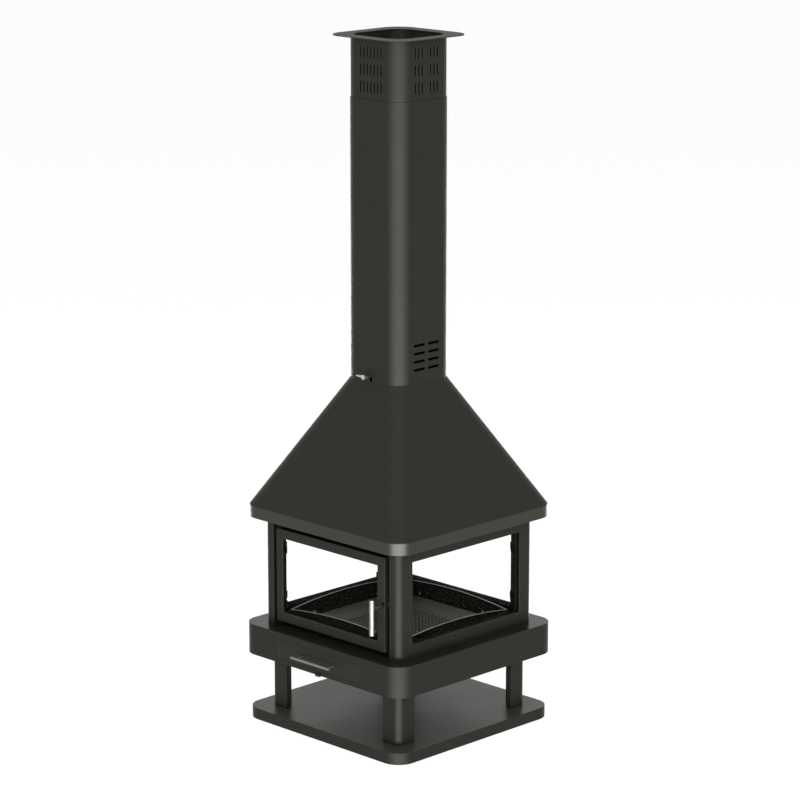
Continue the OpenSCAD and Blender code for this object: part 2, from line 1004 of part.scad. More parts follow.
module handle_grip() {
    low = z_spindle + grip_above - grip_len;
    color(bright_steel)
        difference() {
            translate([x_spindle, y_grip, low])
                rotate_extrude()
                    union() {
                        square([grip_d / 2 - grip_round, grip_len]);
                        translate([0, grip_round])
                            square([grip_d / 2, grip_len - 2 * grip_round]);
                        for (y = [grip_round, grip_len - grip_round])
                            translate([grip_d / 2 - grip_round, y])
                                circle(r = grip_round, $fn = 32);
                    }
            rod_y(x_spindle, z_spindle, y_grip, y_grip + grip_d, spindle_d);
        }
}

module latch_cam() {
    color(dull_steel)
        difference() {
            union() {
                rod_y(x_spindle, z_spindle, y_cam, y_cam + cam_t, cam_w);
                block([x_spindle - cam_w / 2, y_cam, z_spindle],
                      [x_spindle + cam_w / 2, y_cam + cam_t, z_spindle + cam_len]);
            }
            rod_y(x_spindle, z_spindle, y_cam - cut, y_cam + cam_t + cut, spindle_d);
        }
}

// Ash drawer: a flush front and the floor of the open pan behind it

module ash_drawer() {
    front = -hearth_half;
    low = z_drawer + pan_rise;
    color(powder_black) {
        block([-drawer_half, front, z_drawer], [drawer_half, front + sheet, z_drawer + drawer_h]);
        block([-pan_half, front + sheet + slip, low],
              [pan_half, front + sheet + pan_len, low + pan_sheet]);
    }
}

// The pan's four sides, which stand on its floor and meet behind the front
module ash_pan() {
    from = -hearth_half + sheet;
    to = from + pan_len;
    inner = pan_half - pan_sheet;
    low = z_drawer + pan_rise + pan_sheet;
    high = z_drawer + pan_rise + pan_h;
    color(powder_black) {
        for (side = [0, 1])
            mirror([side, 0, 0])
                block([inner, from, low], [pan_half, to, high]);
        block([-inner + slip, from, low], [inner - slip, from + pan_sheet, high]);
        block([-inner + slip, to - pan_sheet, low], [inner - slip, to, high]);
    }
}

module drawer_handle() {
    y_bar = -hearth_half - bar_standoff;
    color(dull_steel) {
        translate([-bar_len / 2, y_bar, z_bar])
            rotate([0, 90, 0])
                cylinder(d = bar_d, h = bar_len);
        for (x = [-1, 1])
            rod_y(x * (bar_len / 2 - bar_post_inset), z_bar, y_bar, -hearth_half, bar_post_d);
    }
}

module drawer_runners() {
    low = z_leg + sheet;
    ledge = z_drawer + pan_rise - slip;
    guide = pan_half + rattle;
    from = -hearth_half + 2 * sheet;
    to = from + pan_len;
    color(dull_steel)
        for (side = [0, 1])
            mirror([side, 0, 0]) {
                block([guide, from, low], [guide + runner_sheet, to, ledge + runner_wall_h]);
                block([guide - runner_ledge, from, ledge - runner_sheet], [guide + runner_sheet, to, ledge]);
                block([guide - runner_ledge, from, low], [guide - runner_ledge + runner_sheet, to, ledge]);
            }
}

// Air slide: a plate that covers the inlets under the hearth box

module air_slide() {
    high = z_leg - slip;
    low = high - slide_t;
    front = -hearth_half - tab_front;
    color(dull_steel) {
        block([-slide_w / 2, front + slide_neck, low], [slide_w / 2, front + slide_len, high]);
        block([-tab_w / 2, front - slide_t, low], [tab_w / 2, front + 2 * slide_neck, high]);
        block([-tab_w / 2, front - slide_t, low], [tab_w / 2, front, low + tab_h]);
    }
}

module air_slide_guides() {
    low = z_leg - 2 * slip - slide_t - guide_t;
    inner = slide_w / 2 + rattle;
    from = -hearth_half + 2 * slide_neck;
    to = from + slide_len;
    color(powder_black)
        for (side = [0, 1])
            mirror([side, 0, 0]) {
                block([inner, from, low], [inner + guide_t, to, z_leg]);
                block([inner - guide_lip, from, low], [inner + guide_t, to, low + guide_t]);
            }
}

// Hood

// The upright band, with a return inside it that rests on the soffit
module hood_skirt() {
    reach = sheet + skirt_return;
    color(band_black)
        difference() {
            rounded_block(hood_side, hood_corner_r, z_fire, z_skirt);
            rounded_block(hood_side - 2 * sheet, hood_corner_r - sheet, z_fire - cut, z_fire + sheet);
            rounded_block(hood_side - 2 * reach, hood_corner_r - reach, z_fire, z_skirt);
            rounded_block(hood_side - 2 * sheet, hood_corner_r - sheet, z_fire + 2 * sheet, z_skirt + cut);
        }
}

// The four-sided slope with round corners, shrunk all round by an inset
module slope_solid(inset, low, high) {
    foot = hood_side + 2 * rim_lip - 2 * inset;
    head = casing_side - 2 * inset;
    $fn = hull_fn;
    hull() {
        rounded_block(foot, hood_corner_r + rim_lip - inset, low, low + slope_foot);
        rounded_block(head, casing_corner_r - inset, high - slope_foot / 2, high);
    }
}

module hood_slope() {
    color(powder_black)
        difference() {
            slope_solid(0, z_skirt, z_slope);
            slope_solid(slope_wall, z_skirt - cut, z_slope - top_plate);
            translate([0, 0, z_slope - top_plate - cut])
                cylinder(r = collar_r + slip, h = top_plate + 2 * cut);
        }
}

module hood_soffit() {
    color(inner_black)
        difference() {
            rounded_block(hood_side - 2 * sheet - 2 * slip, hood_corner_r - sheet - slip,
                          z_fire, z_fire + sheet);
            block([-soffit_open, -soffit_open, z_fire - cut],
                  [soffit_open, soffit_open, z_fire + sheet + cut]);
        }
}

module smoke_baffle() {
    low = z_fire + sheet + baffle_up;
    color(inner_black)
        translate([0, 0, low])
            linear_extrude(baffle_t)
                square(baffle_side, center = true);
}

// Four hangers: each has a foot on the soffit, an upright web and an arm under the baffle
module baffle_supports() {
    foot = z_fire + sheet;
    high = foot + baffle_up;
    web = -soffit_open - hanger_w;
    tip = -baffle_side / 2 + hanger_w / 2;
    color(inner_black)
        for (side = [0 : 3])
            on_side(side)
                difference() {
                    block([-hanger_w / 2, web - hanger_w, foot], [hanger_w / 2, tip, high]);
                    block([-hanger_w, web, foot - cut], [hanger_w, tip + cut, high - hanger_t]);
                    block([-hanger_w, web - hanger_w - cut, foot + hanger_t],
                          [hanger_w, web - hanger_t, high + cut]);
                }
}

// Flue collar and damper

// A tube with a throat for the damper and, above it, a socket for the flue pipe
module flue_collar() {
    low = z_slope - collar_down;
    high = z_slope + collar_up;
    color(inner_black)
        difference() {
            union() {
                translate([0, 0, low])
                    cylinder(r = collar_r, h = high - low);
                translate([0, 0, z_slope])
                    cylinder(r = casing_inner / 2 - collar_gap, h = collar_wall);
            }
            translate([0, 0, low - cut])
                cylinder(r = throat_r, h = high - low + 2 * cut);
            translate([0, 0, high - socket_len])
                cylinder(r = socket_r, h = socket_len + cut);
            rod_y(0, z_damper, -collar_r - cut, collar_r + cut, damper_shaft_d + 2 * shaft_fit);
        }
}

module damper_shaft() {
    flat = z_damper + damper_shaft_d / 2 - shaft_flat;
    color(dull_steel)
        difference() {
            rod_y(0, z_damper, -casing_half - knob_reach, collar_r + shaft_end, damper_shaft_d);
            block([-damper_shaft_d, -damper_r - cut, flat],
                  [damper_shaft_d, damper_r + cut, flat + damper_shaft_d]);
            for (y = [-1, 1])
                translate([0, y * damper_r / 2, z_damper - damper_shaft_d])
                    cylinder(d = damper_screw_d, h = 2 * damper_shaft_d);
        }
}

module damper_plate() {
    low = z_damper + damper_shaft_d / 2 - shaft_flat;
    color(inner_black)
        difference() {
            translate([0, 0, low])
                cylinder(r = damper_r, h = damper_t);
            for (y = [-1, 1])
                translate([0, y * damper_r / 2, low - cut])
                    cylinder(d = damper_screw_d, h = damper_t + 2 * cut);
        }
}

module damper_screws() {
    low = z_damper - damper_shaft_d / 2;
    plate = z_damper + damper_shaft_d / 2 - shaft_flat + damper_t;
    color(dull_steel)
        for (y = [-1, 1])
            translate([0, y * damper_r / 2, 0]) {
                translate([0, 0, plate])
                    cylinder(d = damper_screw_head, h = damper_screw_head_h);
                translate([0, 0, low])
                    cylinder(d = damper_screw_d, h = plate - low + damper_screw_head_h / 2);
            }
}

module damper_knob() {
    face = -casing_half - knob_reach;
    color(bright_steel)
        difference() {
            union() {
                rod_y(0, z_damper, face - knob_len / 2, face + knob_len / 2, knob_d);
                translate([0, face, z_damper])
                    rotate([0, -90, 0])
                        cylinder(d1 = pointer_root_d, d2 = pointer_tip_d, h = pointer_len);
            }
            rod_y(0, z_damper, face, face + knob_len, damper_shaft_d);
        }
}

// Flue casing

module lower_casing() {
    color(powder_black)
        difference() {
            rounded_block(casing_side, casing_corner_r, z_slope, z_casing);
            rounded_block(casing_inner, casing_inner_r, z_slope - cut, z_casing + cut);
            translate([0, -casing_half + casing_sheet + cut, z_damper])
                rotate([90, 0, 0])
                    linear_extrude(casing_sheet + 2 * cut)
                        union() {
                            circle(d = notch_w);
                            translate([-notch_w / 2, -damper_rise - cut])
                                square([notch_w, damper_rise + cut]);
                            for (i = [0 : 3])
                                rotate(i * index_step)
                                    translate([0, index_r])
                                        circle(d = index_d, $fn = 32);
                        }
            for (side = [1, 3])
                on_side(side)
                    for (x = [-1, 1])
                        for (row = [0 : vent_rows - 1])
                            translate([x * vent_mid, -casing_half + casing_sheet + cut,
                                       z_slope + vent_rise + row * vent_pitch])
                                rotate([90, 0, 0])
                                    linear_extrude(casing_sheet + 2 * cut)
                                        slot(vent_w, vent_h);
        }
}

// One louvre column of the upper casing: its three slots, at a place along the face.
// Only the front and the right side have louvres. The two sides behind them are closed.
module louvre_column(x) {
    for (row = [0 : louvre_rows - 1])
        translate([x, -upper_side / 2 + casing_sheet + cut, z_top - louvre_drop - row * louvre_row_pitch])
            rotate([90, 90, 0])
                linear_extrude(casing_sheet + 2 * cut)
                    slot(louvre_h, louvre_w);
}

module upper_casing() {
    color(powder_black)
        difference() {
            rounded_block(upper_side, upper_corner_r, z_casing - upper_hidden, z_top - flange_t);
            rounded_block(upper_side - 2 * casing_sheet, upper_corner_r - casing_sheet,
                          z_casing - upper_hidden - cut, z_top);
            for (i = [-louvre_half_count : louvre_half_count])
                louvre_column(i * louvre_pitch);
            on_side(1)
                for (i = [1 : louvre_half_count])
                    for (x = [-1, 1])
                        louvre_column(x * (i * louvre_pitch + louvre_side_shift));
        }
}

module ceiling_flange() {
    inner_side = upper_side - 2 * casing_sheet - 2 * flange_lip;
    place = flange_side / 2 - flange_hole_edge;
    color(powder_black)
        difference() {
            rounded_block(flange_side, flange_corner_r, z_top - flange_t, z_top);
            rounded_block(inner_side, upper_corner_r, z_top - flange_t - cut, z_top + cut);
            for (x = [-1, 1])
                for (y = [-1, 1])
                    translate([x * place, y * place, z_top - flange_t - cut])
                        cylinder(d = flange_hole_d, h = flange_t + 2 * cut);
        }
}

base_plate();
base_edge();
leg_front_left();
leg_front_right();
leg_back_left();
leg_back_right();
leg_bolts();
hearth_box();
hearth_front();
hearth_tray();
grate();
retainer_front();
retainer_back();
retainer_left();
retainer_right();
retainer_brackets();
retainer_bolts();
firebox_shell();
door_seat();
seat_bars();
window_frames();
glass_right();
glass_back();
glass_left();
glass_seals();
glass_bead_right();
glass_bead_back();
glass_bead_left();
glass_clips();
clip_screws();
lower_pivot();
upper_pivot();
door_frame();
door_glass();
door_bead();
door_seal();
spindle_bush();
latch_spindle();
handle_grip();
latch_cam();
ash_drawer();
ash_pan();
drawer_handle();
drawer_runners();
air_slide();
air_slide_guides();
hood_skirt();
hood_slope();
hood_soffit();
smoke_baffle();
baffle_supports();
flue_collar();
damper_shaft();
damper_plate();
damper_screws();
damper_knob();
lower_casing();
upper_casing();
ceiling_flange();
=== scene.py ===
# %% [markdown]
# A central wood fireplace, dressed in Blender around its packed construction model.
# Everything is in metres, with +Z up and the door facing -Y. The construction model is loaded
# first and stays where it is. It gets softened edges and finished materials, and a few pieces
# with finer shapes stand in for some of its nodes.

# %% Load the frame
import json
import math

import bpy
from mathutils import Matrix, Vector

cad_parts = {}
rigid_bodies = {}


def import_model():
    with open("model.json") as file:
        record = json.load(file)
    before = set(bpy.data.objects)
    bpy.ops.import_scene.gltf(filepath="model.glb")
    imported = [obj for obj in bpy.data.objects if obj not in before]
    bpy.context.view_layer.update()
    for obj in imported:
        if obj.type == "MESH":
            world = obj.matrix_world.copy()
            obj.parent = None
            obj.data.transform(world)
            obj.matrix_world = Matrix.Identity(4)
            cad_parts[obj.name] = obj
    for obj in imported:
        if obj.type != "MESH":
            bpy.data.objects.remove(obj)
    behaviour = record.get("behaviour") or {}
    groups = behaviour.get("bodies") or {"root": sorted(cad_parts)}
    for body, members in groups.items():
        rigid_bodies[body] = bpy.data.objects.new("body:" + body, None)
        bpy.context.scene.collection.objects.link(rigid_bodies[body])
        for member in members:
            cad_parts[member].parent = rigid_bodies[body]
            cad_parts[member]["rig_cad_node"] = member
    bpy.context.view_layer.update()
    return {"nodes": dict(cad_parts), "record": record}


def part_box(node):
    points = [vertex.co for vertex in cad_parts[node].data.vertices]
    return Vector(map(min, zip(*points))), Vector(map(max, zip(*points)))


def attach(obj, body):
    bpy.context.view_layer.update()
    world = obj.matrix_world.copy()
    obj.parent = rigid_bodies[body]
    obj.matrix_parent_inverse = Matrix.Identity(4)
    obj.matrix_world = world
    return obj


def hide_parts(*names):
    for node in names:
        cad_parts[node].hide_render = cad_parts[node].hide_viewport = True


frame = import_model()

MM = 0.001
nodes = frame["nodes"]

# %% [markdown]
# Four small helpers serve every material. The first turns a colour as a picture editor writes it
# into the linear values that light is calculated with. The second adds one shader node with its
# settings and its links, so that a node tree reads like a list of steps. The third starts a
# material with nothing but its output, which leaves no forgotten default node behind. The fourth
# stretches a value from one range to another, which most patterns need.

# %% Helpers for colours and nodes
def colour(code):
    """An sRGB hex value such as 3a3b36 as a linear colour with full alpha."""
    parts = [int(code[i:i + 2], 16) / 255 for i in (0, 2, 4)]
    return [p / 12.92 if p <= 0.04045 else ((p + 0.055) / 1.055) ** 2.4 for p in parts] + [1]


def add(tree, kind, at, settings=(), inputs=()):
    """Adds one shader node at a place, sets its options, and fills or links its inputs."""
    made = tree.nodes.new("ShaderNode" + kind)
    made.location = at
    for key, value in dict(settings).items():
        setattr(made, key, value)
    for key, value in dict(inputs).items():
        if isinstance(value, bpy.types.NodeSocket):
            tree.links.new(value, made.inputs[key])
        else:
            made.inputs[key].default_value = value
    return made


def start_material(name):
    """An empty material with its node tree and its output."""
    material = bpy.data.materials.new(name)
    material.use_nodes = True
    material.node_tree.nodes.clear()
    output = add(material.node_tree, "OutputMaterial", (900, 0))
    return material, material.node_tree, output


NOISE_SPAN = (0.3, 0.7)  # most values of a noise pattern lie in this span


def remap(tree, at, value, source, target, settings=()):
    """Stretches a value from one range to another and stops at the ends."""
    return add(tree, "MapRange", at, settings,
               {"Value": value, "From Min": source[0], "From Max": source[1],
                "To Min": target[0], "To Max": target[1]}).outputs[0]


# %% [markdown]
# The camera stands opposite the front left-to-right corner, 10.75 m away and a little above the
# object, looking down by 13 degrees. Its place was solved from the object's own squares and
# uprights. A long lens keeps the uprights almost parallel, as in a product picture.

# %% Camera
CAMERA_AT = (7.6069, -7.6019, 3.7284)
CAMERA_TURN, CAMERA_DIP = 45, 13.276
LENS_MM, SENSOR_MM = 138.5, 36
LENS_SHIFT = (0.0005, -0.0003)
camera_data = bpy.data.cameras.new("camera")
camera_data.lens, camera_data.sensor_width = LENS_MM, SENSOR_MM
camera_data.shift_x, camera_data.shift_y = LENS_SHIFT
camera = bpy.data.objects.new("camera", camera_data)
bpy.context.scene.collection.objects.link(camera)
camera.location = CAMERA_AT
camera.rotation_euler = (math.radians(90 - CAMERA_DIP), 0, math.radians(CAMERA_TURN))
bpy.context.scene.camera = camera
print("camera at", CAMERA_AT)

# %% [markdown]
# The studio is a white room. The world is plain white where the camera, a reflection or the
# glass looks at it, and a softer grey where it lights matt surfaces, so that black stays black.
# The Light Path node tells the two apart.

# %% White room
ROOM_LIGHT = 0.5
scene = bpy.context.scene
scene.view_settings.view_transform = "Standard"
world = bpy.data.worlds.new("white_studio")
world.use_nodes = True
scene.world = world


def looked_at(tree, x, y):
    """1 for rays of the camera, of a reflection or through glass, and 0 for light on surfaces."""
    path = add(tree, "LightPath", (x, y))
    mirrors = add(tree, "Math", (x + 200, y), {"operation": "MAXIMUM"},
                  {0: path.outputs["Is Camera Ray"], 1: path.outputs["Is Glossy Ray"]})
    return add(tree, "Math", (x + 400, y), {"operation": "MAXIMUM"},
               {0: mirrors.outputs[0], 1: path.outputs["Is Transmission Ray"]}).outputs[0]


sky = world.node_tree
sky.nodes.clear()
level = add(sky, "Mix", (-300, 0), {"data_type": "FLOAT"},
            {0: looked_at(sky, -900, 0), 2: ROOM_LIGHT, 3: 1.0})
white = add(sky, "Background", (-100, 0), (), {"Color": (1, 1, 1, 1), "Strength": level.outputs[0]})
add(sky, "OutputWorld", (100, 0), (), {"Surface": white.outputs[0]})
print("room light on matt surfaces", ROOM_LIGHT)

# %% [markdown]
# The floor is a wide disc. Where it is looked at it glows almost white and adds a little real
# reflection, which is how it can be white and still keep a faint shadow round the base. Where it
# only bounces light upwards it is a plain pale grey. It casts no shadow, so that a card of light
# can shine from below it.

# %% Pale floor
FLOOR_RADIUS = 30
BOUNCE_GREY, MATT_GREY = (0.75, 0.75, 0.75, 1), (0.22, 0.22, 0.22, 1)
FLOOR_GLOW = 0.86
bpy.ops.mesh.primitive_circle_add(radius=FLOOR_RADIUS, vertices=96, fill_type="NGON")
floor = bpy.context.object
floor.name = "studio_floor"
floor_white, tree, output = start_material("white_studio_floor")
bounce = add(tree, "BsdfDiffuse", (-500, 0), (), {"Color": BOUNCE_GREY})
shade = add(tree, "BsdfDiffuse", (-500, -150), (), {"Color": MATT_GREY})
glow = add(tree, "Emission", (-500, -300), (), {"Color": (1, 1, 1, 1), "Strength": FLOOR_GLOW})
lit = add(tree, "AddShader", (-300, -200), (), {0: shade.outputs[0], 1: glow.outputs[0]})
floor_look = add(tree, "MixShader", (0, 0), (),
                 {0: looked_at(tree, -900, 200), 1: bounce.outputs[0], 2: lit.outputs[0]})
tree.links.new(floor_look.outputs[0], output.inputs["Surface"])
floor.data.materials.append(floor_white)
floor.visible_shadow = False
print("floor radius", FLOOR_RADIUS, "m")

# %% [markdown]
# Two soft boxes light the object: one in front and above, one overhead. Black coats are read by
# their highlights, so two very wide cards, one in front and one behind, show only in
# reflections. The camera looks down, and an upright face mirrors that view further down. The
# cards shine up from there, below the floor: each rounded corner gets one soft upright band,
# while the flat tops, which face away from them, stay dark. The floor lets their light pass, but
# it would stop the mirrored rays that multiple importance sampling sends out to find a lamp, so
# the cards do without it.

# %% Lamps
FRONT, BACK = 45, 225


def soft_box(name, azimuth, elevation, distance, size, power, aim=1.2):
    """A rectangular lamp that looks at a height on the object's axis, in degrees and metres."""
    target = Vector((0, 0, aim))
    a, e = math.radians(azimuth), math.radians(elevation)
    way = Vector((math.sin(a) * math.cos(e), -math.cos(a) * math.cos(e), math.sin(e)))
    data = bpy.data.lights.new(name, "AREA")
    data.shape = "RECTANGLE"
    data.size, data.size_y, data.energy = *size, power
    lamp = bpy.data.objects.new(name, data)
    bpy.context.scene.collection.objects.link(lamp)
    lamp.location = target + distance * way
    lamp.rotation_euler = (-way).to_track_quat("-Z", "Y").to_euler()
    lamp.visible_camera = False
    print(name, "at", [round(v, 2) for v in lamp.location], power, "W")
    return lamp


key = soft_box("front_soft_box", FRONT, elevation=20, distance=12.5, size=(5, 4), power=1000)
key.visible_glossy = False  # seen from behind, flat tops would mirror it as pure white
soft_box("overhead_soft_box", FRONT, elevation=88, distance=6, size=(5, 5), power=200)
for name, azimuth, power in (("front_card", FRONT, 7600), ("back_card", BACK, 1300)):
    card = soft_box(name, azimuth, elevation=-13.3, distance=14, size=(22, 2), power=power,
                    aim=1.05)
    card.visible_diffuse = False
    card.visible_transmission = False
    card.data.cycles.use_multiple_importance_sampling = False

# %% [markdown]
# Wear, painted highlights and painted top light follow the shape itself. A Bevel node gives the
# direction that a rounded surface would face, and where it differs from the true one there is an
# edge, which hands and tools rub, and which some finishes paint paler as a highlight. Faces that
# look up are painted paler, a painted top light for the light that falls on them from above. The
# painted sheets and the cast iron share both.

# %% Edges and tops
EDGE_BEGINS, EDGE_FULL = 0.995, 0.86


def find_edges(tree, radius_mm, most):
    """The rounded direction of a surface, and a value that rises to its most on edges."""
    rounded = add(tree, "Bevel", (-1200, 400), {"samples": 4}, {"Radius": radius_mm * MM})
    flat = add(tree, "NewGeometry", (-1200, 600))
    same = add(tree, "VectorMath", (-1000, 500), {"operation": "DOT_PRODUCT"},
               {0: rounded.outputs[0], 1: flat.outputs["Normal"]})
    edge = remap(tree, (-800, 500), same.outputs["Value"], (EDGE_BEGINS, EDGE_FULL), (0, most))
    return rounded.outputs[0], edge


def find_tops(tree, begins, full, most):
    """A value that rises to its most where a face looks up."""
    flat = add(tree, "NewGeometry", (-1200, 750))
    facing = add(tree, "SeparateXYZ", (-1000, 750), (), {0: flat.outputs["Normal"]})
    return remap(tree, (-800, 750), facing.outputs["Z"], (begins, full), (0, most),
                 {"interpolation_type": "SMOOTHSTEP"})


# %% [markdown]
# Black powder coat on steel sheet covers most of the object. The powder melts in an oven to a
# skin with a fine orange peel, matt but not dead: it shows broad soft highlights on round
# corners. Edges are rounded by the melt and rubbed a little brighter where hands and brooms pass.
# The peel of a real coat is 1 to 2 mm wide, and it is drawn at 2.2 or 2.5 mm so that it shows.
# On the hearth and the base the flat tops are wiped again and again. They are smoother there, so
# they mirror the pale room at a flat angle, and they are painted a paler grey: a painted top
# light for the light that falls on them from above, stronger on the base than on the hearth.

# %% Powder coat
CLOUDS_PER_METRE = 7.0


def coated_steel(name, main, worn_and_lit_tone, rough=0.55, shine=0.18, peel_mm=2.5, peel_depth_mm=0.12,
                 top_light=0.0, top_light_code="3a3a35", wiped=0.0):
    """A coat with a fine peel, cloudy tone, paler edges for wear and painted highlights, and a
    painted top light on wiped tops.
    """
    material, tree, output = start_material(name)
    spot = add(tree, "TexCoord", (-1500, 0)).outputs["Object"]
    peel = add(tree, "TexNoise", (-1200, -300), (),
               {"Vector": spot, "Scale": 1 / (peel_mm * MM), "Detail": 2.0, "Roughness": 0.5})
    cloud = add(tree, "TexNoise", (-1200, 100), (),
                {"Vector": spot, "Scale": CLOUDS_PER_METRE, "Detail": 4.0,
                 "Roughness": 0.6}).outputs["Fac"]
    rounded, edge = find_edges(tree, radius_mm=1.8, most=1.0)
    top = find_tops(tree, begins=0.75, full=0.97, most=1.0)
    patchy = add(tree, "Math", (-600, 400), {"operation": "MULTIPLY"}, {0: edge, 1: cloud})
    # Edges go towards a paler tone: rubbed wear on most coats, and a painted highlight on the
    # door's coat.
    base = add(tree, "Mix", (-500, 100), {"data_type": "RGBA"},
               {0: patchy.outputs[0], 6: colour(main), 7: colour(worn_and_lit_tone)})
    # Faces that look up are mixed towards a paler colour: a painted top light for the light from
    # above.
    top_light_share = add(tree, "Math", (-600, 750), {"operation": "MULTIPLY"}, {0: top, 1: top_light})
    top_lit = add(tree, "Mix", (-400, 200), {"data_type": "RGBA"},
                 {0: top_light_share.outputs[0], 6: base.outputs[2], 7: colour(top_light_code)})
    tone = remap(tree, (-900, 100), cloud, NOISE_SPAN, (0.92, 1.08))
    shade = add(tree, "VectorMath", (-300, 100), {"operation": "SCALE"},
                {0: top_lit.outputs[2], "Scale": tone})
    gloss = remap(tree, (-500, -150), cloud, NOISE_SPAN, (rough - 0.03, rough + 0.03))
    smoother = add(tree, "Math", (-300, -100), {"operation": "MULTIPLY_ADD"},
                   {0: top, 1: -wiped, 2: gloss})
    bump = add(tree, "Bump", (-300, -300), (),
               {"Strength": 0.35, "Distance": peel_depth_mm * MM, "Height": peel.outputs["Fac"],
                "Normal": rounded})
    skin = add(tree, "BsdfPrincipled", (500, 0), (),
               {"Base Color": shade.outputs[0], "Roughness": smoother.outputs[0],
                "Specular IOR Level": shine, "Normal": bump.outputs[0]})
    tree.links.new(skin.outputs[0], output.inputs["Surface"])
    print(name, "made with roughness", rough)
    return material


powder_coat = coated_steel("black_powder_coat_on_steel", "191a11", "3a3b36")
# The door frame and the firebox shell get edges painted much paler, 6a6b64: painted highlights
# along the edges.
door_coat = coated_steel("powder_coat_with_painted_edge_highlights", "191a11", "6a6b64")
# The hearth and the base are painted darker than the other sheets, 15160e against 191a11: a painted
# shade.
hearth_coat = coated_steel("hearth_powder_coat_on_steel", "15160e", "3a3b36", top_light=0.1, wiped=0.3)
wiped_coat = coated_steel("wiped_powder_coat_on_steel", "15160e", "3a3b36", top_light=0.7,
                          top_light_code="42423d", wiped=0.22)
satin_coat = coated_steel("satin_powder_coat_on_steel", "25261c", "4a4a44", rough=0.42, shine=0.3,
                          peel_mm=2.2, peel_depth_mm=0.08)

# %% [markdown]
# The sheets round the fire are sprayed with a heat resistant silicone paint. It dries dead matt
# with a fine grit, and it swallows nearly all light, so the inside of the firebox is the darkest
# part of the picture.

# %% Stove paint
stove_paint = coated_steel("heat_resistant_stove_paint", "080906", "161613", rough=0.85,
                           shine=0.05, peel_mm=1.6, peel_depth_mm=0.10)

# %% [markdown]
# The hearth floor, its grate and the log retainers are grey iron, poured in sand moulds and
# painted black. The sand leaves a rough skin of grains about 1 mm wide over slow waves of some
# 12 mm. The edges are rubbed to a dull grey, and the proudest grains a very little. Every face
# that looks up is painted paler, a painted top light, and the narrow tops and edges of the
# retainers are painted paler still, as painted highlights that show as thin light lines.

# %% Cast iron
def sand_cast(name, main, rubbed_and_lit_tone, iron_top_light_code, top_light_share, grain_mm=1.1, wave_mm=12, rough=0.82):
    """Painted iron with a grainy skin, paler edges and high spots, and a painted top light."""
    material, tree, output = start_material(name)
    spot = add(tree, "TexCoord", (-1500, 0)).outputs["Object"]
    grain = add(tree, "TexNoise", (-1200, -200), (),
                {"Vector": spot, "Scale": 1 / (grain_mm * MM), "Detail": 3.0,
                 "Roughness": 0.6}).outputs["Fac"]
    wave = add(tree, "TexNoise", (-1200, 100), (),
               {"Vector": spot, "Scale": 1 / (wave_mm * MM), "Detail": 2.0}).outputs["Fac"]
    rounded, edge = find_edges(tree, radius_mm=1.6, most=0.8)
    high = remap(tree, (-900, -50), grain, (0.55, 0.75), (0, 0.03))
    # Edges and proud grains go towards a paler tone: rubbed wear, and on the retainers a painted
    # highlight.
    rubbed_and_lit = add(tree, "Math", (-600, 300), {"operation": "MAXIMUM"}, {0: edge, 1: high})
    iron = add(tree, "Mix", (-500, 100), {"data_type": "RGBA"},
               {0: rubbed_and_lit.outputs[0], 6: colour(main), 7: colour(rubbed_and_lit_tone)})
    # Faces that look up go towards a paler colour: a painted top light for the light from above.
    top = find_tops(tree, begins=0.6, full=0.95, most=top_light_share)
    shade = add(tree, "Mix", (-300, 100), {"data_type": "RGBA"},
                {0: top, 6: iron.outputs[2], 7: colour(iron_top_light_code)})
    gloss = remap(tree, (-500, -150), wave, NOISE_SPAN, (rough - 0.05, rough + 0.05))
    waves = add(tree, "Bump", (-500, -350), (),
                {"Strength": 0.4, "Distance": 0.8 * MM, "Height": wave, "Normal": rounded})
    grains = add(tree, "Bump", (-300, -350), (),
                 {"Strength": 0.5, "Distance": 0.25 * MM, "Height": grain,
                  "Normal": waves.outputs[0]})
    skin = add(tree, "BsdfPrincipled", (500, 0), (),
               {"Base Color": shade.outputs[2], "Roughness": gloss,
                "Specular IOR Level": 0.03, "Normal": grains.outputs[0]})
    tree.links.new(skin.outputs[0], output.inputs["Surface"])
    print(name, "grains", grain_mm, "mm, waves", wave_mm, "mm")
    return material


cast_iron = sand_cast("sand_cast_iron_painted_black", "0a0b08", "2a2a25", "4a4a45", top_light_share=0.8)
# The retainers' tops and edges are painted paler than the floor's, 8a8a84 and 44443f: painted
# highlights.
iron_with_painted_highlights = sand_cast("sand_cast_iron_with_painted_top_highlights", "0a0b08", "44443f", "8a8a84", top_light_share=1.0)

# %% [markdown]
# The grip, the drawer's bar and the damper knob are stainless steel turned on a lathe. The tool
# leaves fine rings round the axis, which blur a highlight along it. A noise stretched across the
# axis gives these rings: its pattern keeps its width along the axis and is drawn out fifty times
# in the other two directions. Real rings are 0.1 mm apart, and they are drawn at 0.5 mm to show
# at all. Fasteners are plain zinc plated steel, duller and without rings. The latch and the air
# slide are blackened in hot oil, which leaves a dark skin that still shines like metal.

# %% Steel
STRETCHED = 0.02
RINGS_ALONG = {"X": (1, STRETCHED, STRETCHED), "Y": (STRETCHED, 1, STRETCHED),
               "Z": (STRETCHED, STRETCHED, 1), None: (1, 1, 1)}
SMEARS_PER_METRE = 60.0


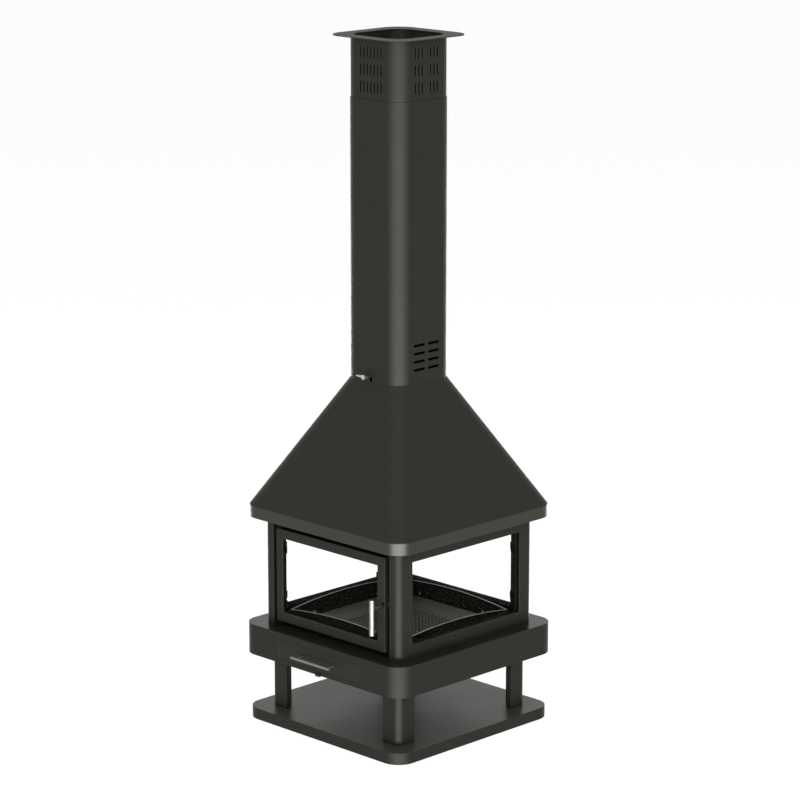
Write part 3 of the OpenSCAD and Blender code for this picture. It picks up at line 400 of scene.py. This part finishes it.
def bare_steel(name, main, rough, axis=None, line_mm=1.5, depth_mm=0.01):
    """Bare steel with rings round an axis, or with a plain fine grain where none is named."""
    material, tree, output = start_material(name)
    spot = add(tree, "TexCoord", (-1500, 0)).outputs["Object"]
    stretch = add(tree, "Mapping", (-1300, 0), (), {"Vector": spot, "Scale": RINGS_ALONG[axis]})
    lines = add(tree, "TexNoise", (-1100, 0), (),
                {"Vector": stretch.outputs[0], "Scale": 1 / (line_mm * MM),
                 "Detail": 2.0}).outputs["Fac"]
    smear = add(tree, "TexNoise", (-1100, 300), (),
                {"Vector": spot, "Scale": SMEARS_PER_METRE, "Detail": 3.0}).outputs["Fac"]
    gloss = remap(tree, (-800, 0), smear, NOISE_SPAN, (rough - 0.06, rough + 0.06))
    tone = remap(tree, (-800, 300), lines, NOISE_SPAN, (0.9, 1.06))
    shade = add(tree, "VectorMath", (-500, 200), {"operation": "SCALE"},
                {0: colour(main)[:3], "Scale": tone})
    rounded = add(tree, "Bevel", (-1100, -300), {"samples": 4}, {"Radius": 0.6 * MM})
    bump = add(tree, "Bump", (-500, -200), (),
               {"Strength": 0.3, "Distance": depth_mm * MM, "Height": lines,
                "Normal": rounded.outputs[0]})
    skin = add(tree, "BsdfPrincipled", (500, 0), (),
               {"Base Color": shade.outputs[0], "Metallic": 1.0, "Roughness": gloss,
                "Normal": bump.outputs[0]})
    tree.links.new(skin.outputs[0], output.inputs["Surface"])
    print(name, "lines", line_mm, "mm")
    return material


# The grip and the drawer's bar are the knob's stainless steel painted darker, 706e6a and 7b7a75
# against b9b6b0: a painted shade.
upright_steel = bare_steel("turned_stainless_steel_upright", "706e6a", 0.4, "Z", line_mm=0.5)
level_steel = bare_steel("turned_stainless_steel_level", "7b7a75", 0.45, "X", line_mm=0.5)
knob_steel = bare_steel("turned_stainless_steel_knob", "b9b6b0", 0.3, "Y", line_mm=0.5)
zinc_steel = bare_steel("zinc_plated_steel", "5f5f5b", 0.45)
black_steel = bare_steel("oil_blackened_steel", "262624", 0.5)

# %% [markdown]
# The panes are ceramic glass, 4 mm thick, which stands the heat of a fire. New and clean they
# are all but invisible, with a trace of haze from wiping. The pale room would fill such a pane
# with its mirror image, so the index of refraction is set far below that of real glass, and only
# a hint of a reflection is left. A shadow ray meets plain transparency, so that the panes pass
# light on to the hearth.

# %% Ceramic glass
PANE_INDEX = 1.04
ceramic_glass, tree, output = start_material("clear_ceramic_glass")
path = add(tree, "LightPath", (-600, 300))
place = add(tree, "TexCoord", (-1100, 0))
wipe = add(tree, "TexNoise", (-900, 0), (),
           {"Vector": place.outputs["Object"], "Scale": 9.0, "Detail": 5.0, "Distortion": 1.5})
haze = remap(tree, (-600, 0), wipe.outputs["Fac"], (0.5, 0.8), (0, 0.03))
body = add(tree, "BsdfPrincipled", (-300, 0), (),
           {"Base Color": colour("ffffff"), "Roughness": haze, "IOR": PANE_INDEX,
            "Transmission Weight": 1.0})
through = add(tree, "BsdfTransparent", (-300, -400), (), {"Color": (0.97, 0.97, 0.97, 1)})
pane = add(tree, "MixShader", (0, 0), (),
           {0: path.outputs["Is Shadow Ray"], 1: body.outputs[0], 2: through.outputs[0]})
tree.links.new(pane.outputs[0], output.inputs["Surface"])
print("glass made with index", PANE_INDEX)

# %% [markdown]
# The door closes on a rope of twisted glass fibre, and flat woven glass tape lies under the
# fixed panes. Both are dyed graphite grey and have a dry, fuzzy look: very rough, with no clear
# highlight, and with thousands of fine threads that catch a little light along the surface,
# which is what sheen is for. The threads are 0.01 mm thick, and the fuzz is drawn at 0.7 mm.

# %% Glass fibre
def woven_fibre(name, main, pale, fuzz_mm=0.7):
    """A dry, fuzzy fibre with light thread tips."""
    material, tree, output = start_material(name)
    spot = add(tree, "TexCoord", (-1100, 0)).outputs["Object"]
    fuzz = add(tree, "TexNoise", (-900, 0), (),
               {"Vector": spot, "Scale": 1 / (fuzz_mm * MM), "Detail": 4.0,
                "Roughness": 0.7}).outputs["Fac"]
    tips = remap(tree, (-600, 100), fuzz, (0.4, 0.7), (0, 1))
    shade = add(tree, "Mix", (-300, 100), {"data_type": "RGBA"},
                {0: tips, 6: colour(main), 7: colour(pale)})
    dry = remap(tree, (-300, -100), fuzz, NOISE_SPAN, (0.85, 1))
    bump = add(tree, "Bump", (-300, -300), (),
               {"Strength": 0.6, "Distance": 0.2 * MM, "Height": fuzz})
    skin = add(tree, "BsdfPrincipled", (500, 0), (),
               {"Base Color": shade.outputs[2], "Roughness": dry, "Sheen Weight": 0.3,
                "Specular IOR Level": 0.2, "Normal": bump.outputs[0]})
    tree.links.new(skin.outputs[0], output.inputs["Surface"])
    print(name, "fuzz", fuzz_mm, "mm")
    return material


rope_fibre = woven_fibre("twisted_glass_fibre_rope", "2b2a27", "4b4944")
tape_fibre = woven_fibre("woven_glass_fibre_tape", "33322e", "55534d")

# %% [markdown]
# Each construction node has a material slot from the record. The slot says what the part is made
# of, and the finish follows from it. A few nodes get a finish of their own: the same steel turned
# along another axis and painted darker as a painted shade, the same coat wiped on top with a
# painted top light and painted darker as a painted shade, the same coat with painted highlights
# on its edges, iron with painted highlights on its tops, or a coat baked dull.

# %% Dress the construction nodes
finishes = {"powder_coat": powder_coat, "band_coat": satin_coat, "stove_paint": stove_paint,
            "cast_iron": cast_iron, "bright_steel": knob_steel, "plain_steel": zinc_steel,
            "ceramic_glass": ceramic_glass, "rope": rope_fibre}
special = {"handle_grip": upright_steel, "drawer_handle": level_steel, "hearth_box": hearth_coat,
           "hearth_front": hearth_coat, "base_plate": wiped_coat, "base_edge": wiped_coat,
           "lower_pivot": stove_paint, "upper_pivot": stove_paint, "air_slide": black_steel,
           "door_frame": door_coat, "firebox_shell": door_coat,
           "spindle_bush": black_steel, "latch_spindle": zinc_steel, "latch_cam": black_steel,
           "retainer_front": iron_with_painted_highlights, "retainer_back": iron_with_painted_highlights,
           "retainer_left": iron_with_painted_highlights, "retainer_right": iron_with_painted_highlights}
slot_of = {}
for part in frame["record"]["subparts"]:
    slot_of[part["node"]] = part["material_slot"]
    for holder in nodes[part["node"]].material_slots:
        holder.material = special.get(part["node"], finishes[part["material_slot"]])
print("dressed", len(slot_of), "nodes with", len(finishes), "slots")

# %% [markdown]
# A construction model has razor sharp edges, and nothing real has. Cut and folded sheet keeps a
# tiny radius, a casting a larger one, and that radius is what draws a thin light line along an
# edge. The node's own mesh has to stay as it is, so four live modifiers do this: Weld joins its
# loose triangles, Decimate dissolves the flat ones into whole faces, Bevel rounds every edge
# sharper than 35 degrees, and Weighted Normal keeps the large faces flat in the shading.

# %% Soft edges
MERGE_MM = 0.01
FLAT_ANGLE, SHARP_ANGLE = math.radians(0.5), math.radians(35)
FACE_WEIGHT = 50
SHEET_EDGE, DOOR_EDGE, CAST_EDGE, FINE_EDGE = 0.8, 2.0, 1.2, 0.35


def soften(piece, radius_mm, segments=2):
    """Rounds the sharp edges of a piece with live modifiers."""
    weld = piece.modifiers.new("join_triangles", "WELD")
    weld.merge_threshold = MERGE_MM * MM
    flat = piece.modifiers.new("whole_faces", "DECIMATE")
    flat.decimate_type, flat.angle_limit = "DISSOLVE", FLAT_ANGLE
    rounding = piece.modifiers.new("round_edges", "BEVEL")
    rounding.limit_method, rounding.angle_limit = "ANGLE", SHARP_ANGLE
    rounding.width, rounding.segments = radius_mm * MM, segments
    shading = piece.modifiers.new("flat_shading", "WEIGHTED_NORMAL")
    shading.weight = FACE_WEIGHT


stood_in = ("door_seal", "glass_seals", "retainer_bolts", "clip_screws", "leg_bolts",
            "damper_screws", "hearth_box", "hearth_front", "base_plate", "base_edge")
fine = ("handle_grip", "damper_knob", "drawer_handle", "spindle_bush", "latch_spindle",
        "latch_cam", "damper_shaft", "glass_right", "glass_back", "glass_left", "door_glass")
for name, node in nodes.items():
    if name in stood_in:
        continue
    if name == "door_frame":
        soften(node, DOOR_EDGE, 3)
    elif slot_of[name] == "cast_iron":
        soften(node, CAST_EDGE)
    else:
        soften(node, FINE_EDGE if name in fine else SHEET_EDGE)
print("softened", len(nodes) - len(stood_in), "nodes")

# %% [markdown]
# The next pieces are modelled by hand, and a few helpers make that shorter. One selects a piece
# alone, two go into edit mode and out of it, one picks faces or edges there by their place and
# direction, one adds a modifier and applies it, and one joins or cuts two pieces. The last ends
# a piece: it gets its name, finish and body, and it hides the construction nodes that it stands
# for.

# %% Helpers for new pieces
import bmesh


def alone(piece):
    """Selects one piece, lets go of all others and makes it the active one."""
    bpy.ops.object.select_all(action="DESELECT")
    piece.select_set(True)
    bpy.context.view_layer.objects.active = piece


def pick(piece, kind, test):
    """Selects in edit mode the faces or edges whose centre and direction pass a test."""
    bpy.ops.mesh.select_all(action="DESELECT")
    mesh = bmesh.from_edit_mesh(piece.data)
    mesh.normal_update()
    for item in getattr(mesh, kind):
        if kind == "faces":
            chosen = test(item.calc_center_median(), item.normal)
        else:
            a, b = (v.co for v in item.verts)
            chosen = test((a + b) / 2, (b - a).normalized())
        if chosen:
            item.select_set(True)
    bmesh.update_edit_mesh(piece.data)


def edit(piece, mode="FACE"):
    """Goes into edit mode on one piece alone."""
    alone(piece)
    bpy.ops.object.mode_set(mode="EDIT")
    bpy.ops.mesh.select_mode(type=mode)


def leave():
    """Goes back to object mode."""
    bpy.ops.object.mode_set(mode="OBJECT")


def modify(piece, kind, **settings):
    """Adds a modifier with its settings and applies it."""
    alone(piece)
    made = piece.modifiers.new(kind.lower(), kind)
    for key, value in settings.items():
        setattr(made, key, value)
    bpy.ops.object.modifier_apply(modifier=made.name)


def combine(piece, other, operation):
    """Unites, cuts or intersects a piece with another one, which is used up."""
    modify(piece, "BOOLEAN", operation=operation, object=other, solver="EXACT")
    bpy.data.objects.remove(other)


def end_piece(piece, name, body, material, slot, *stands_for, angle=35):
    """Settles a finished piece and hides the construction nodes that it stands for."""
    alone(piece)
    bpy.ops.object.transform_apply(location=True, rotation=True, scale=True)
    bpy.ops.object.shade_smooth_by_angle(angle=math.radians(angle))
    piece.name = piece.data.name = name
    piece.data.materials.clear()
    piece.data.materials.append(material)
    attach(piece, body)
    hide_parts(*stands_for)
    size = [round(v / MM, 1) for v in piece.dimensions]
    print(name, "is", size, "mm with", len(piece.data.polygons), "faces")


# %% [markdown]
# The hearth box is one wrapped sheet, but the construction model has the flat middle of its
# front as a panel of its own, so that each solid stays simple. The base plate is split from its
# folded edge in the same way. A united copy of each pair hides the seam. The copies are merged
# first, their flat triangles are dissolved into whole faces, and then the edges are bevelled.

# %% Hearth box and base
def merge_all(piece, gap_mm):
    """Merges the vertices of a piece that lie closer than a gap, and stays in edit mode."""
    edit(piece, "VERT")
    bpy.ops.mesh.select_all(action="SELECT")
    bpy.ops.mesh.remove_doubles(threshold=gap_mm * MM)


def seamless(name, first, second, coat):
    """One piece made of two construction nodes that touch, with rounded edges."""
    copies = []
    for source in (first, second):
        twin = nodes[source].copy()
        twin.data = nodes[source].data.copy()
        twin.parent = None
        del twin["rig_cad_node"]
        bpy.context.scene.collection.objects.link(twin)
        merge_all(twin, MERGE_MM)
        bpy.ops.mesh.customdata_custom_splitnormals_clear()
        leave()
        copies.append(twin)
    combine(copies[0], copies[1], "UNION")
    merge_all(copies[0], MERGE_MM)
    bpy.ops.mesh.dissolve_limited(angle_limit=FLAT_ANGLE)
    leave()
    modify(copies[0], "BEVEL", limit_method="ANGLE", angle_limit=SHARP_ANGLE,
           width=SHEET_EDGE * MM, segments=2)
    end_piece(copies[0], name, "frame", coat, "powder_coat", first, second, angle=30)
    modify(copies[0], "WEIGHTED_NORMAL", weight=FACE_WEIGHT)


seamless("hearth_box_shell", "hearth_box", "hearth_front", hearth_coat)
seamless("base_plate_shell", "base_plate", "base_edge", wiped_coat)

# %% [markdown]
# The construction model knows where every fastener sits. Reading the boxes of its loose parts
# gives those places, so that the finer fasteners below land in the same holes.

# %% Where the fasteners sit
RETAINER_HEAD, CLIP_HEAD, DAMPER_HEAD, LEG_HEAD = 3.6, 2.4, 2.5, 4.8  # heights in mm


def loose_parts(name):
    """The lowest and highest corner of each loose part of a construction node."""
    mesh = bmesh.new()
    mesh.from_mesh(nodes[name].data)
    bmesh.ops.remove_doubles(mesh, verts=mesh.verts, dist=MERGE_MM * MM)
    found, left = [], set(mesh.verts)
    while left:
        front = [left.pop()]
        spots = []
        while front:
            vertex = front.pop()
            spots.append(tuple(vertex.co))
            for e in vertex.link_edges:
                other = e.other_vert(vertex)
                if other in left:
                    left.remove(other)
                    front.append(other)
        found.append((Vector(map(min, zip(*spots))), Vector(map(max, zip(*spots)))))
    mesh.free()
    return sorted(found, key=lambda box: tuple(box[0]))


def spread(model, spots, name, *ending):
    """Copies a model to each (place, direction of its head) and joins the copies."""
    copies = []
    for place, way in spots:
        twin = model.copy()
        twin.data = model.data.copy()
        turn = Vector(way).to_track_quat("Z", "X").to_matrix().to_4x4()
        twin.data.transform(Matrix.Translation(place) @ turn)
        bpy.context.scene.collection.objects.link(twin)
        copies.append(twin)
    bpy.data.objects.remove(model)
    bpy.ops.object.select_all(action="DESELECT")
    for twin in copies:
        twin.select_set(True)
    bpy.context.view_layer.objects.active = copies[0]
    bpy.ops.object.join()
    end_piece(copies[0], name, *ending)


def inward(boxes, head_mm):
    """Places under the heads of fasteners whose heads point at the object's axis."""
    spots = []
    for low, high in boxes:
        middle = (low + high) / 2
        axis = 0 if abs(middle.x) > abs(middle.y) else 1
        sign = 1 if middle[axis] > 0 else -1
        middle[axis] = sign * (min(abs(low[axis]), abs(high[axis])) + head_mm * MM)
        way = [0, 0, 0]
        way[axis] = -sign
        spots.append((middle, way))
    return spots


def upright(boxes, way, head_mm):
    """Places under the heads of fasteners whose heads point up (1) or down (-1)."""
    return [(Vector(((low.x + high.x) / 2, (low.y + high.y) / 2,
                     (high.z if way > 0 else low.z) - way * head_mm * MM)), (0, 0, way))
            for low, high in boxes]


retainer_spots = inward(loose_parts("retainer_bolts"), RETAINER_HEAD)
clip_spots = inward(loose_parts("clip_screws"), CLIP_HEAD)
damper_spots = upright(loose_parts("damper_screws"), 1, DAMPER_HEAD)
leg_spots = upright(loose_parts("leg_bolts"), -1, LEG_HEAD)
print(len(retainer_spots), "retainer bolts,", len(clip_spots), "clip screws,",
      len(damper_spots), "damper screws,", len(leg_spots), "leg bolts")

# %% [markdown]
# A button head screw starts as a short cylinder. Its bottom face is inset to the width of the
# shank and extruded down, its upper rim is bevelled into a dome, and the end of the shank gets a
# small chamfer. The hexagon socket is cut with a six-sided prism.

# %% Button head screw
DOME_SHARE, SOCKET_SHARE, SOCKET_DEPTH_SHARE, TIP_SHARE = 0.62, 0.42, 0.62, 0.18
NEAR = 0.01 * MM


def button_screw(head_r, head_h, shank_r, shank_l):
    """A screw with a domed head on +Z and a hexagon socket, sizes in mm."""
    bpy.ops.mesh.primitive_cylinder_add(vertices=32, radius=head_r * MM, depth=head_h * MM,
                                        location=(0, 0, head_h * MM / 2))
    screw = bpy.context.object
    bpy.ops.object.transform_apply(location=True)
    edit(screw)
    pick(screw, "faces", lambda c, n: n.z < -0.9)
    bpy.ops.mesh.inset(thickness=(head_r - shank_r) * MM)
    bpy.ops.mesh.extrude_region_move(TRANSFORM_OT_translate={"value": (0, 0, -shank_l * MM)})
    bpy.ops.mesh.select_mode(type="EDGE")
    pick(screw, "edges", lambda c, d: abs(c.z + shank_l * MM) < NEAR and abs(d.z) < 0.1)
    bpy.ops.mesh.bevel(offset=TIP_SHARE * shank_r * MM, segments=1)
    pick(screw, "edges", lambda c, d: abs(c.z - head_h * MM) < NEAR and abs(d.z) < 0.1)
    bpy.ops.mesh.bevel(offset=DOME_SHARE * head_h * MM, segments=4)
    leave()
    bpy.ops.mesh.primitive_cylinder_add(vertices=6, radius=SOCKET_SHARE * head_r * MM,
                                        depth=2 * SOCKET_DEPTH_SHARE * head_h * MM,
                                        location=(0, 0, head_h * MM))
    combine(screw, bpy.context.object, "DIFFERENCE")
    return screw


# %% [markdown]
# A hexagon head or nut is a six-sided prism whose corners are turned off on a lathe, which
# leaves an arc on every flat. The same happens here: the prism is intersected with a round disc
# whose rims are bevelled.

# %% Hexagon heads and nuts
DISC_SHARE, CORNER_SHARE, END_SHARE = 0.995, 0.1, 0.14


def bevel_rims(piece, offset_mm):
    """Bevels the level edges of a piece that stands along Z."""
    edit(piece, "EDGE")
    pick(piece, "edges", lambda c, d: abs(d.z) < 0.1)
    bpy.ops.mesh.bevel(offset=offset_mm * MM, segments=1)
    leave()


def hexagon(corner_r, height, foot):
    """A chamfered hexagon with corners on X, standing on a height, sizes in mm."""
    middle = (0, 0, (foot + height / 2) * MM)
    bpy.ops.mesh.primitive_cylinder_add(vertices=6, radius=corner_r * MM, depth=height * MM,
                                        location=middle, rotation=(0, 0, math.pi / 2))
    prism = bpy.context.object
    bpy.ops.mesh.primitive_cylinder_add(vertices=48, radius=DISC_SHARE * corner_r * MM,
                                        depth=height * MM, location=middle)
    disc = bpy.context.object
    bevel_rims(disc, CORNER_SHARE * corner_r)
    combine(prism, disc, "INTERSECT")
    return prism


def plain_shank(radius, low, high):
    """A round bar along Z with small chamfers, sizes in mm."""
    bpy.ops.mesh.primitive_cylinder_add(vertices=24, radius=radius * MM, depth=(high - low) * MM,
                                        location=(0, 0, (low + high) * MM / 2))
    bar = bpy.context.object
    bevel_rims(bar, END_SHARE * radius)
    return bar


# %% [markdown]
# Four kinds of fastener come out of these models. Button heads hold the log retainers, the
# glass clips and the damper's plate, and a nut closes each retainer bolt outside. Hexagon bolts
# with nuts hold the legs, through the base plate below and through the hearth box above.

# %% Fasteners
zinc_plated = (zinc_steel, "plain_steel")
retainer_bolt = button_screw(head_r=5.1, head_h=RETAINER_HEAD, shank_r=3, shank_l=8.5)
combine(retainer_bolt, hexagon(corner_r=5.1, height=3.6, foot=-11.6), "UNION")
spread(retainer_bolt, retainer_spots, "retainer_button_bolts", "frame", *zinc_plated,
       "retainer_bolts")
clip_screw = button_screw(head_r=4, head_h=CLIP_HEAD, shank_r=2, shank_l=8)
spread(clip_screw, clip_spots, "clip_button_screws", "frame", *zinc_plated, "clip_screws")
damper_screw = button_screw(head_r=4.5, head_h=DAMPER_HEAD, shank_r=2.5, shank_l=12)
spread(damper_screw, damper_spots, "damper_button_screws", "damper", *zinc_plated,
       "damper_screws")
leg_bolt = hexagon(corner_r=6.8, height=LEG_HEAD, foot=0)
combine(leg_bolt, plain_shank(radius=4, low=-13.9, high=2), "UNION")
combine(leg_bolt, hexagon(corner_r=6.8, height=6.4, foot=-12.4), "UNION")
spread(leg_bolt, leg_spots, "leg_hexagon_bolts", "frame", *zinc_plated, "leg_bolts")

# %% [markdown]
# The door rope and the glass tapes are long, even things bent round a rectangle. Each starts as
# one short length along X, an Array repeats it, and a Curve modifier bends the whole run along a
# path. The path is a rectangle with rounded corners, drawn point by point.

# %% A path round a rectangle
CORNER_STEPS = 8
UNIT_GAP_MM, RING_GAP_MM = 0.02, 0.05


def rectangle_path(half_w, low, high, corner, start, gap=0.0):
    """Points (u, z) in mm round a rectangle, from a height on its right side and upwards."""
    spots = [(half_w, start + gap / 2)]
    centres = [(half_w - corner, high - corner, 0), (-half_w + corner, high - corner, 90),
               (-half_w + corner, low + corner, 180), (half_w - corner, low + corner, 270)]
    for cu, cz, turn in centres:
        for step in range(CORNER_STEPS + 1):
            a = math.radians(turn + step * 90 / CORNER_STEPS)
            spots.append((cu + corner * math.cos(a), cz + corner * math.sin(a)))
    spots.append((half_w, start - gap / 2))
    return spots


def bend_along(unit, unit_mm, spots, closed, name):
    """Repeats a unit along X to the length of a path in the XY plane and bends it there."""
    length = sum(math.dist(a, b) for a, b in zip(spots, spots[1:]))
    count = round(length / unit_mm)
    unit.scale.x = length / count / unit_mm
    alone(unit)
    bpy.ops.object.transform_apply(scale=True)
    data = bpy.data.curves.new(name, "CURVE")
    data.dimensions, data.twist_mode = "3D", "Z_UP"
    line = data.splines.new("POLY")
    line.points.add(len(spots) - 1)
    for point, (u, z) in zip(line.points, spots):
        point.co = (u * MM, z * MM, 0, 1)
    path = bpy.data.objects.new(name, data)
    bpy.context.scene.collection.objects.link(path)
    modify(unit, "ARRAY", count=count, use_relative_offset=False, use_constant_offset=True,
           constant_offset_displace=(length / count * MM, 0, 0), use_merge_vertices=True,
           merge_threshold=UNIT_GAP_MM * MM)
    modify(unit, "CURVE", object=path, deform_axis="POS_X")
    bpy.data.objects.remove(path)
    if closed:
        merge_all(unit, RING_GAP_MM)
    else:
        edit(unit, "VERT")
        bpy.ops.mesh.select_all(action="DESELECT")
        bpy.ops.mesh.select_non_manifold()
        bpy.ops.mesh.fill_holes(sides=0)
    bpy.ops.mesh.select_all(action="SELECT")
    bpy.ops.mesh.normals_make_consistent(inside=False)
    leave()
    print(name, "runs", round(length), "mm with", count, "units")
    return unit


# %% [markdown]
# The rope in the back of the door is four twisted strands, pressed to an oval 7 mm wide and
# 2.7 mm thick between the door and its seat. One strand is a small circle beside the axis, and a
# Screw modifier turns and pushes it through one full twist. Three turned copies make up the
# rope. Its ends meet with a gap at the latch, where the cam needs room.

# %% Door rope
ROPE_W, ROPE_D = 7.0, 2.7
STRANDS, STRAND_R, TWIST_R, TWIST = 4, 1.0, 1.0, 12
ROPE_CORNER, LATCH_GAP = 8, 20
PLAY = 0.1


def twisted_unit(strands, strand_r, twist_r, pitch, wide, thick):
    """One full twist of a rope along X, pressed to an oval, sizes in mm."""
    bpy.ops.mesh.primitive_circle_add(vertices=7, radius=strand_r * MM,
                                      location=(0, 0, twist_r * MM),
                                      rotation=(0, math.pi / 2, 0))
    unit = bpy.context.object
    bpy.ops.object.transform_apply(location=True, rotation=True)
    modify(unit, "SCREW", axis="X", angle=math.tau, screw_offset=pitch * MM, steps=10,
           render_steps=10, use_smooth_shade=True)
    edit(unit, "VERT")
    bpy.ops.mesh.select_all(action="SELECT")
    for _ in range(strands - 1):
        bpy.ops.mesh.duplicate()
        bpy.ops.transform.rotate(value=math.tau / strands, orient_axis="X",
                                 center_override=(0, 0, 0))
    bpy.ops.mesh.select_all(action="SELECT")
    across = 2 * (strand_r + twist_r)
    bpy.ops.transform.resize(value=(1, wide / across, thick / across), center_override=(0, 0, 0))
    leave()
    return unit


def stand_up(piece, depth, side=0):
    """Turns a ring from the XY plane upright, at a depth on the front or another side."""
    piece.matrix_world = (Matrix.Rotation(math.radians(side), 4, "Z")
                          @ Matrix.Translation((0, depth, 0))
                          @ Matrix.Rotation(math.pi / 2, 4, "X"))


low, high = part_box("door_seal")
rope_path = rectangle_path(high.x / MM - ROPE_W / 2, low.z / MM + ROPE_W / 2,
                           high.z / MM - ROPE_W / 2, ROPE_CORNER, (low.z + high.z) / 2 / MM,
                           LATCH_GAP)
twist = twisted_unit(STRANDS, STRAND_R, TWIST_R, TWIST, ROPE_W - PLAY, ROPE_D - PLAY)
rope = bend_along(twist, TWIST, rope_path, False, "rope_path")
stand_up(rope, (low.y + high.y) / 2)
end_piece(rope, "door_rope", "door", rope_fibre, "rope", "door_seal", angle=60)

# %% [markdown]
# The tape under each fixed pane is woven flat, with a rib across it every 3 mm. One rib is a
# flat block: a bisect puts a ring of vertices in its middle, its ends are pinched, its open end
# faces are deleted and its long edges are bevelled. The run closes on itself.

# %% Glass tapes
TAPE_W, TAPE_D, RIB = 8.0, 1.5, 3
TAPE_CORNER = 5
PINCH_WIDE_SHARE, PINCH_THICK_SHARE, RIB_BEVEL_SHARE = 0.96, 0.72, 0.3


def ribbed_unit(pitch, wide, thick):
    """One rib of a woven tape along X, open at both ends, sizes in mm."""
    bpy.ops.mesh.primitive_cube_add(size=MM, location=(pitch * MM / 2, 0, 0))
    unit = bpy.context.object
    unit.scale = (pitch, wide, thick)
    bpy.ops.object.transform_apply(location=True, scale=True)
    edit(unit)
    pick(unit, "faces", lambda c, n: abs(n.x) > 0.9)
    bpy.ops.mesh.delete(type="ONLY_FACE")
    bpy.ops.mesh.select_all(action="SELECT")
    bpy.ops.mesh.bisect(plane_co=(pitch * MM / 2, 0, 0), plane_no=(1, 0, 0))
    bpy.ops.mesh.select_mode(type="EDGE")
    pick(unit, "edges", lambda c, d: abs(d.x) < 0.1 and abs(c.x - pitch * MM / 2) > 0.1 * MM)
    bpy.ops.transform.resize(value=(1, PINCH_WIDE_SHARE, PINCH_THICK_SHARE),
                             center_override=(pitch * MM / 2, 0, 0))
    pick(unit, "edges", lambda c, d: abs(d.x) > 0.9)
    bpy.ops.mesh.bevel(offset=RIB_BEVEL_SHARE * thick * MM, segments=1)
    leave()
    return unit


glass_low, glass_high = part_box("glass_right")
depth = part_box("glass_seals")[1].x - TAPE_D * MM / 2
tape_path = rectangle_path(glass_high.y / MM - TAPE_W / 2, glass_low.z / MM + TAPE_W / 2,
                           glass_high.z / MM - TAPE_W / 2, TAPE_CORNER,
                           (glass_low.z + glass_high.z) / 2 / MM)
for side, name in ((90, "right"), (180, "back"), (270, "left")):
    rib = ribbed_unit(RIB, TAPE_W - PLAY, TAPE_D - PLAY)
    tape = bend_along(rib, RIB, tape_path, True, "tape_path")
    stand_up(tape, -depth, side)
    end_piece(tape, "glass_tape_" + name, "frame", tape_fibre, "rope", "glass_seals", angle=60)
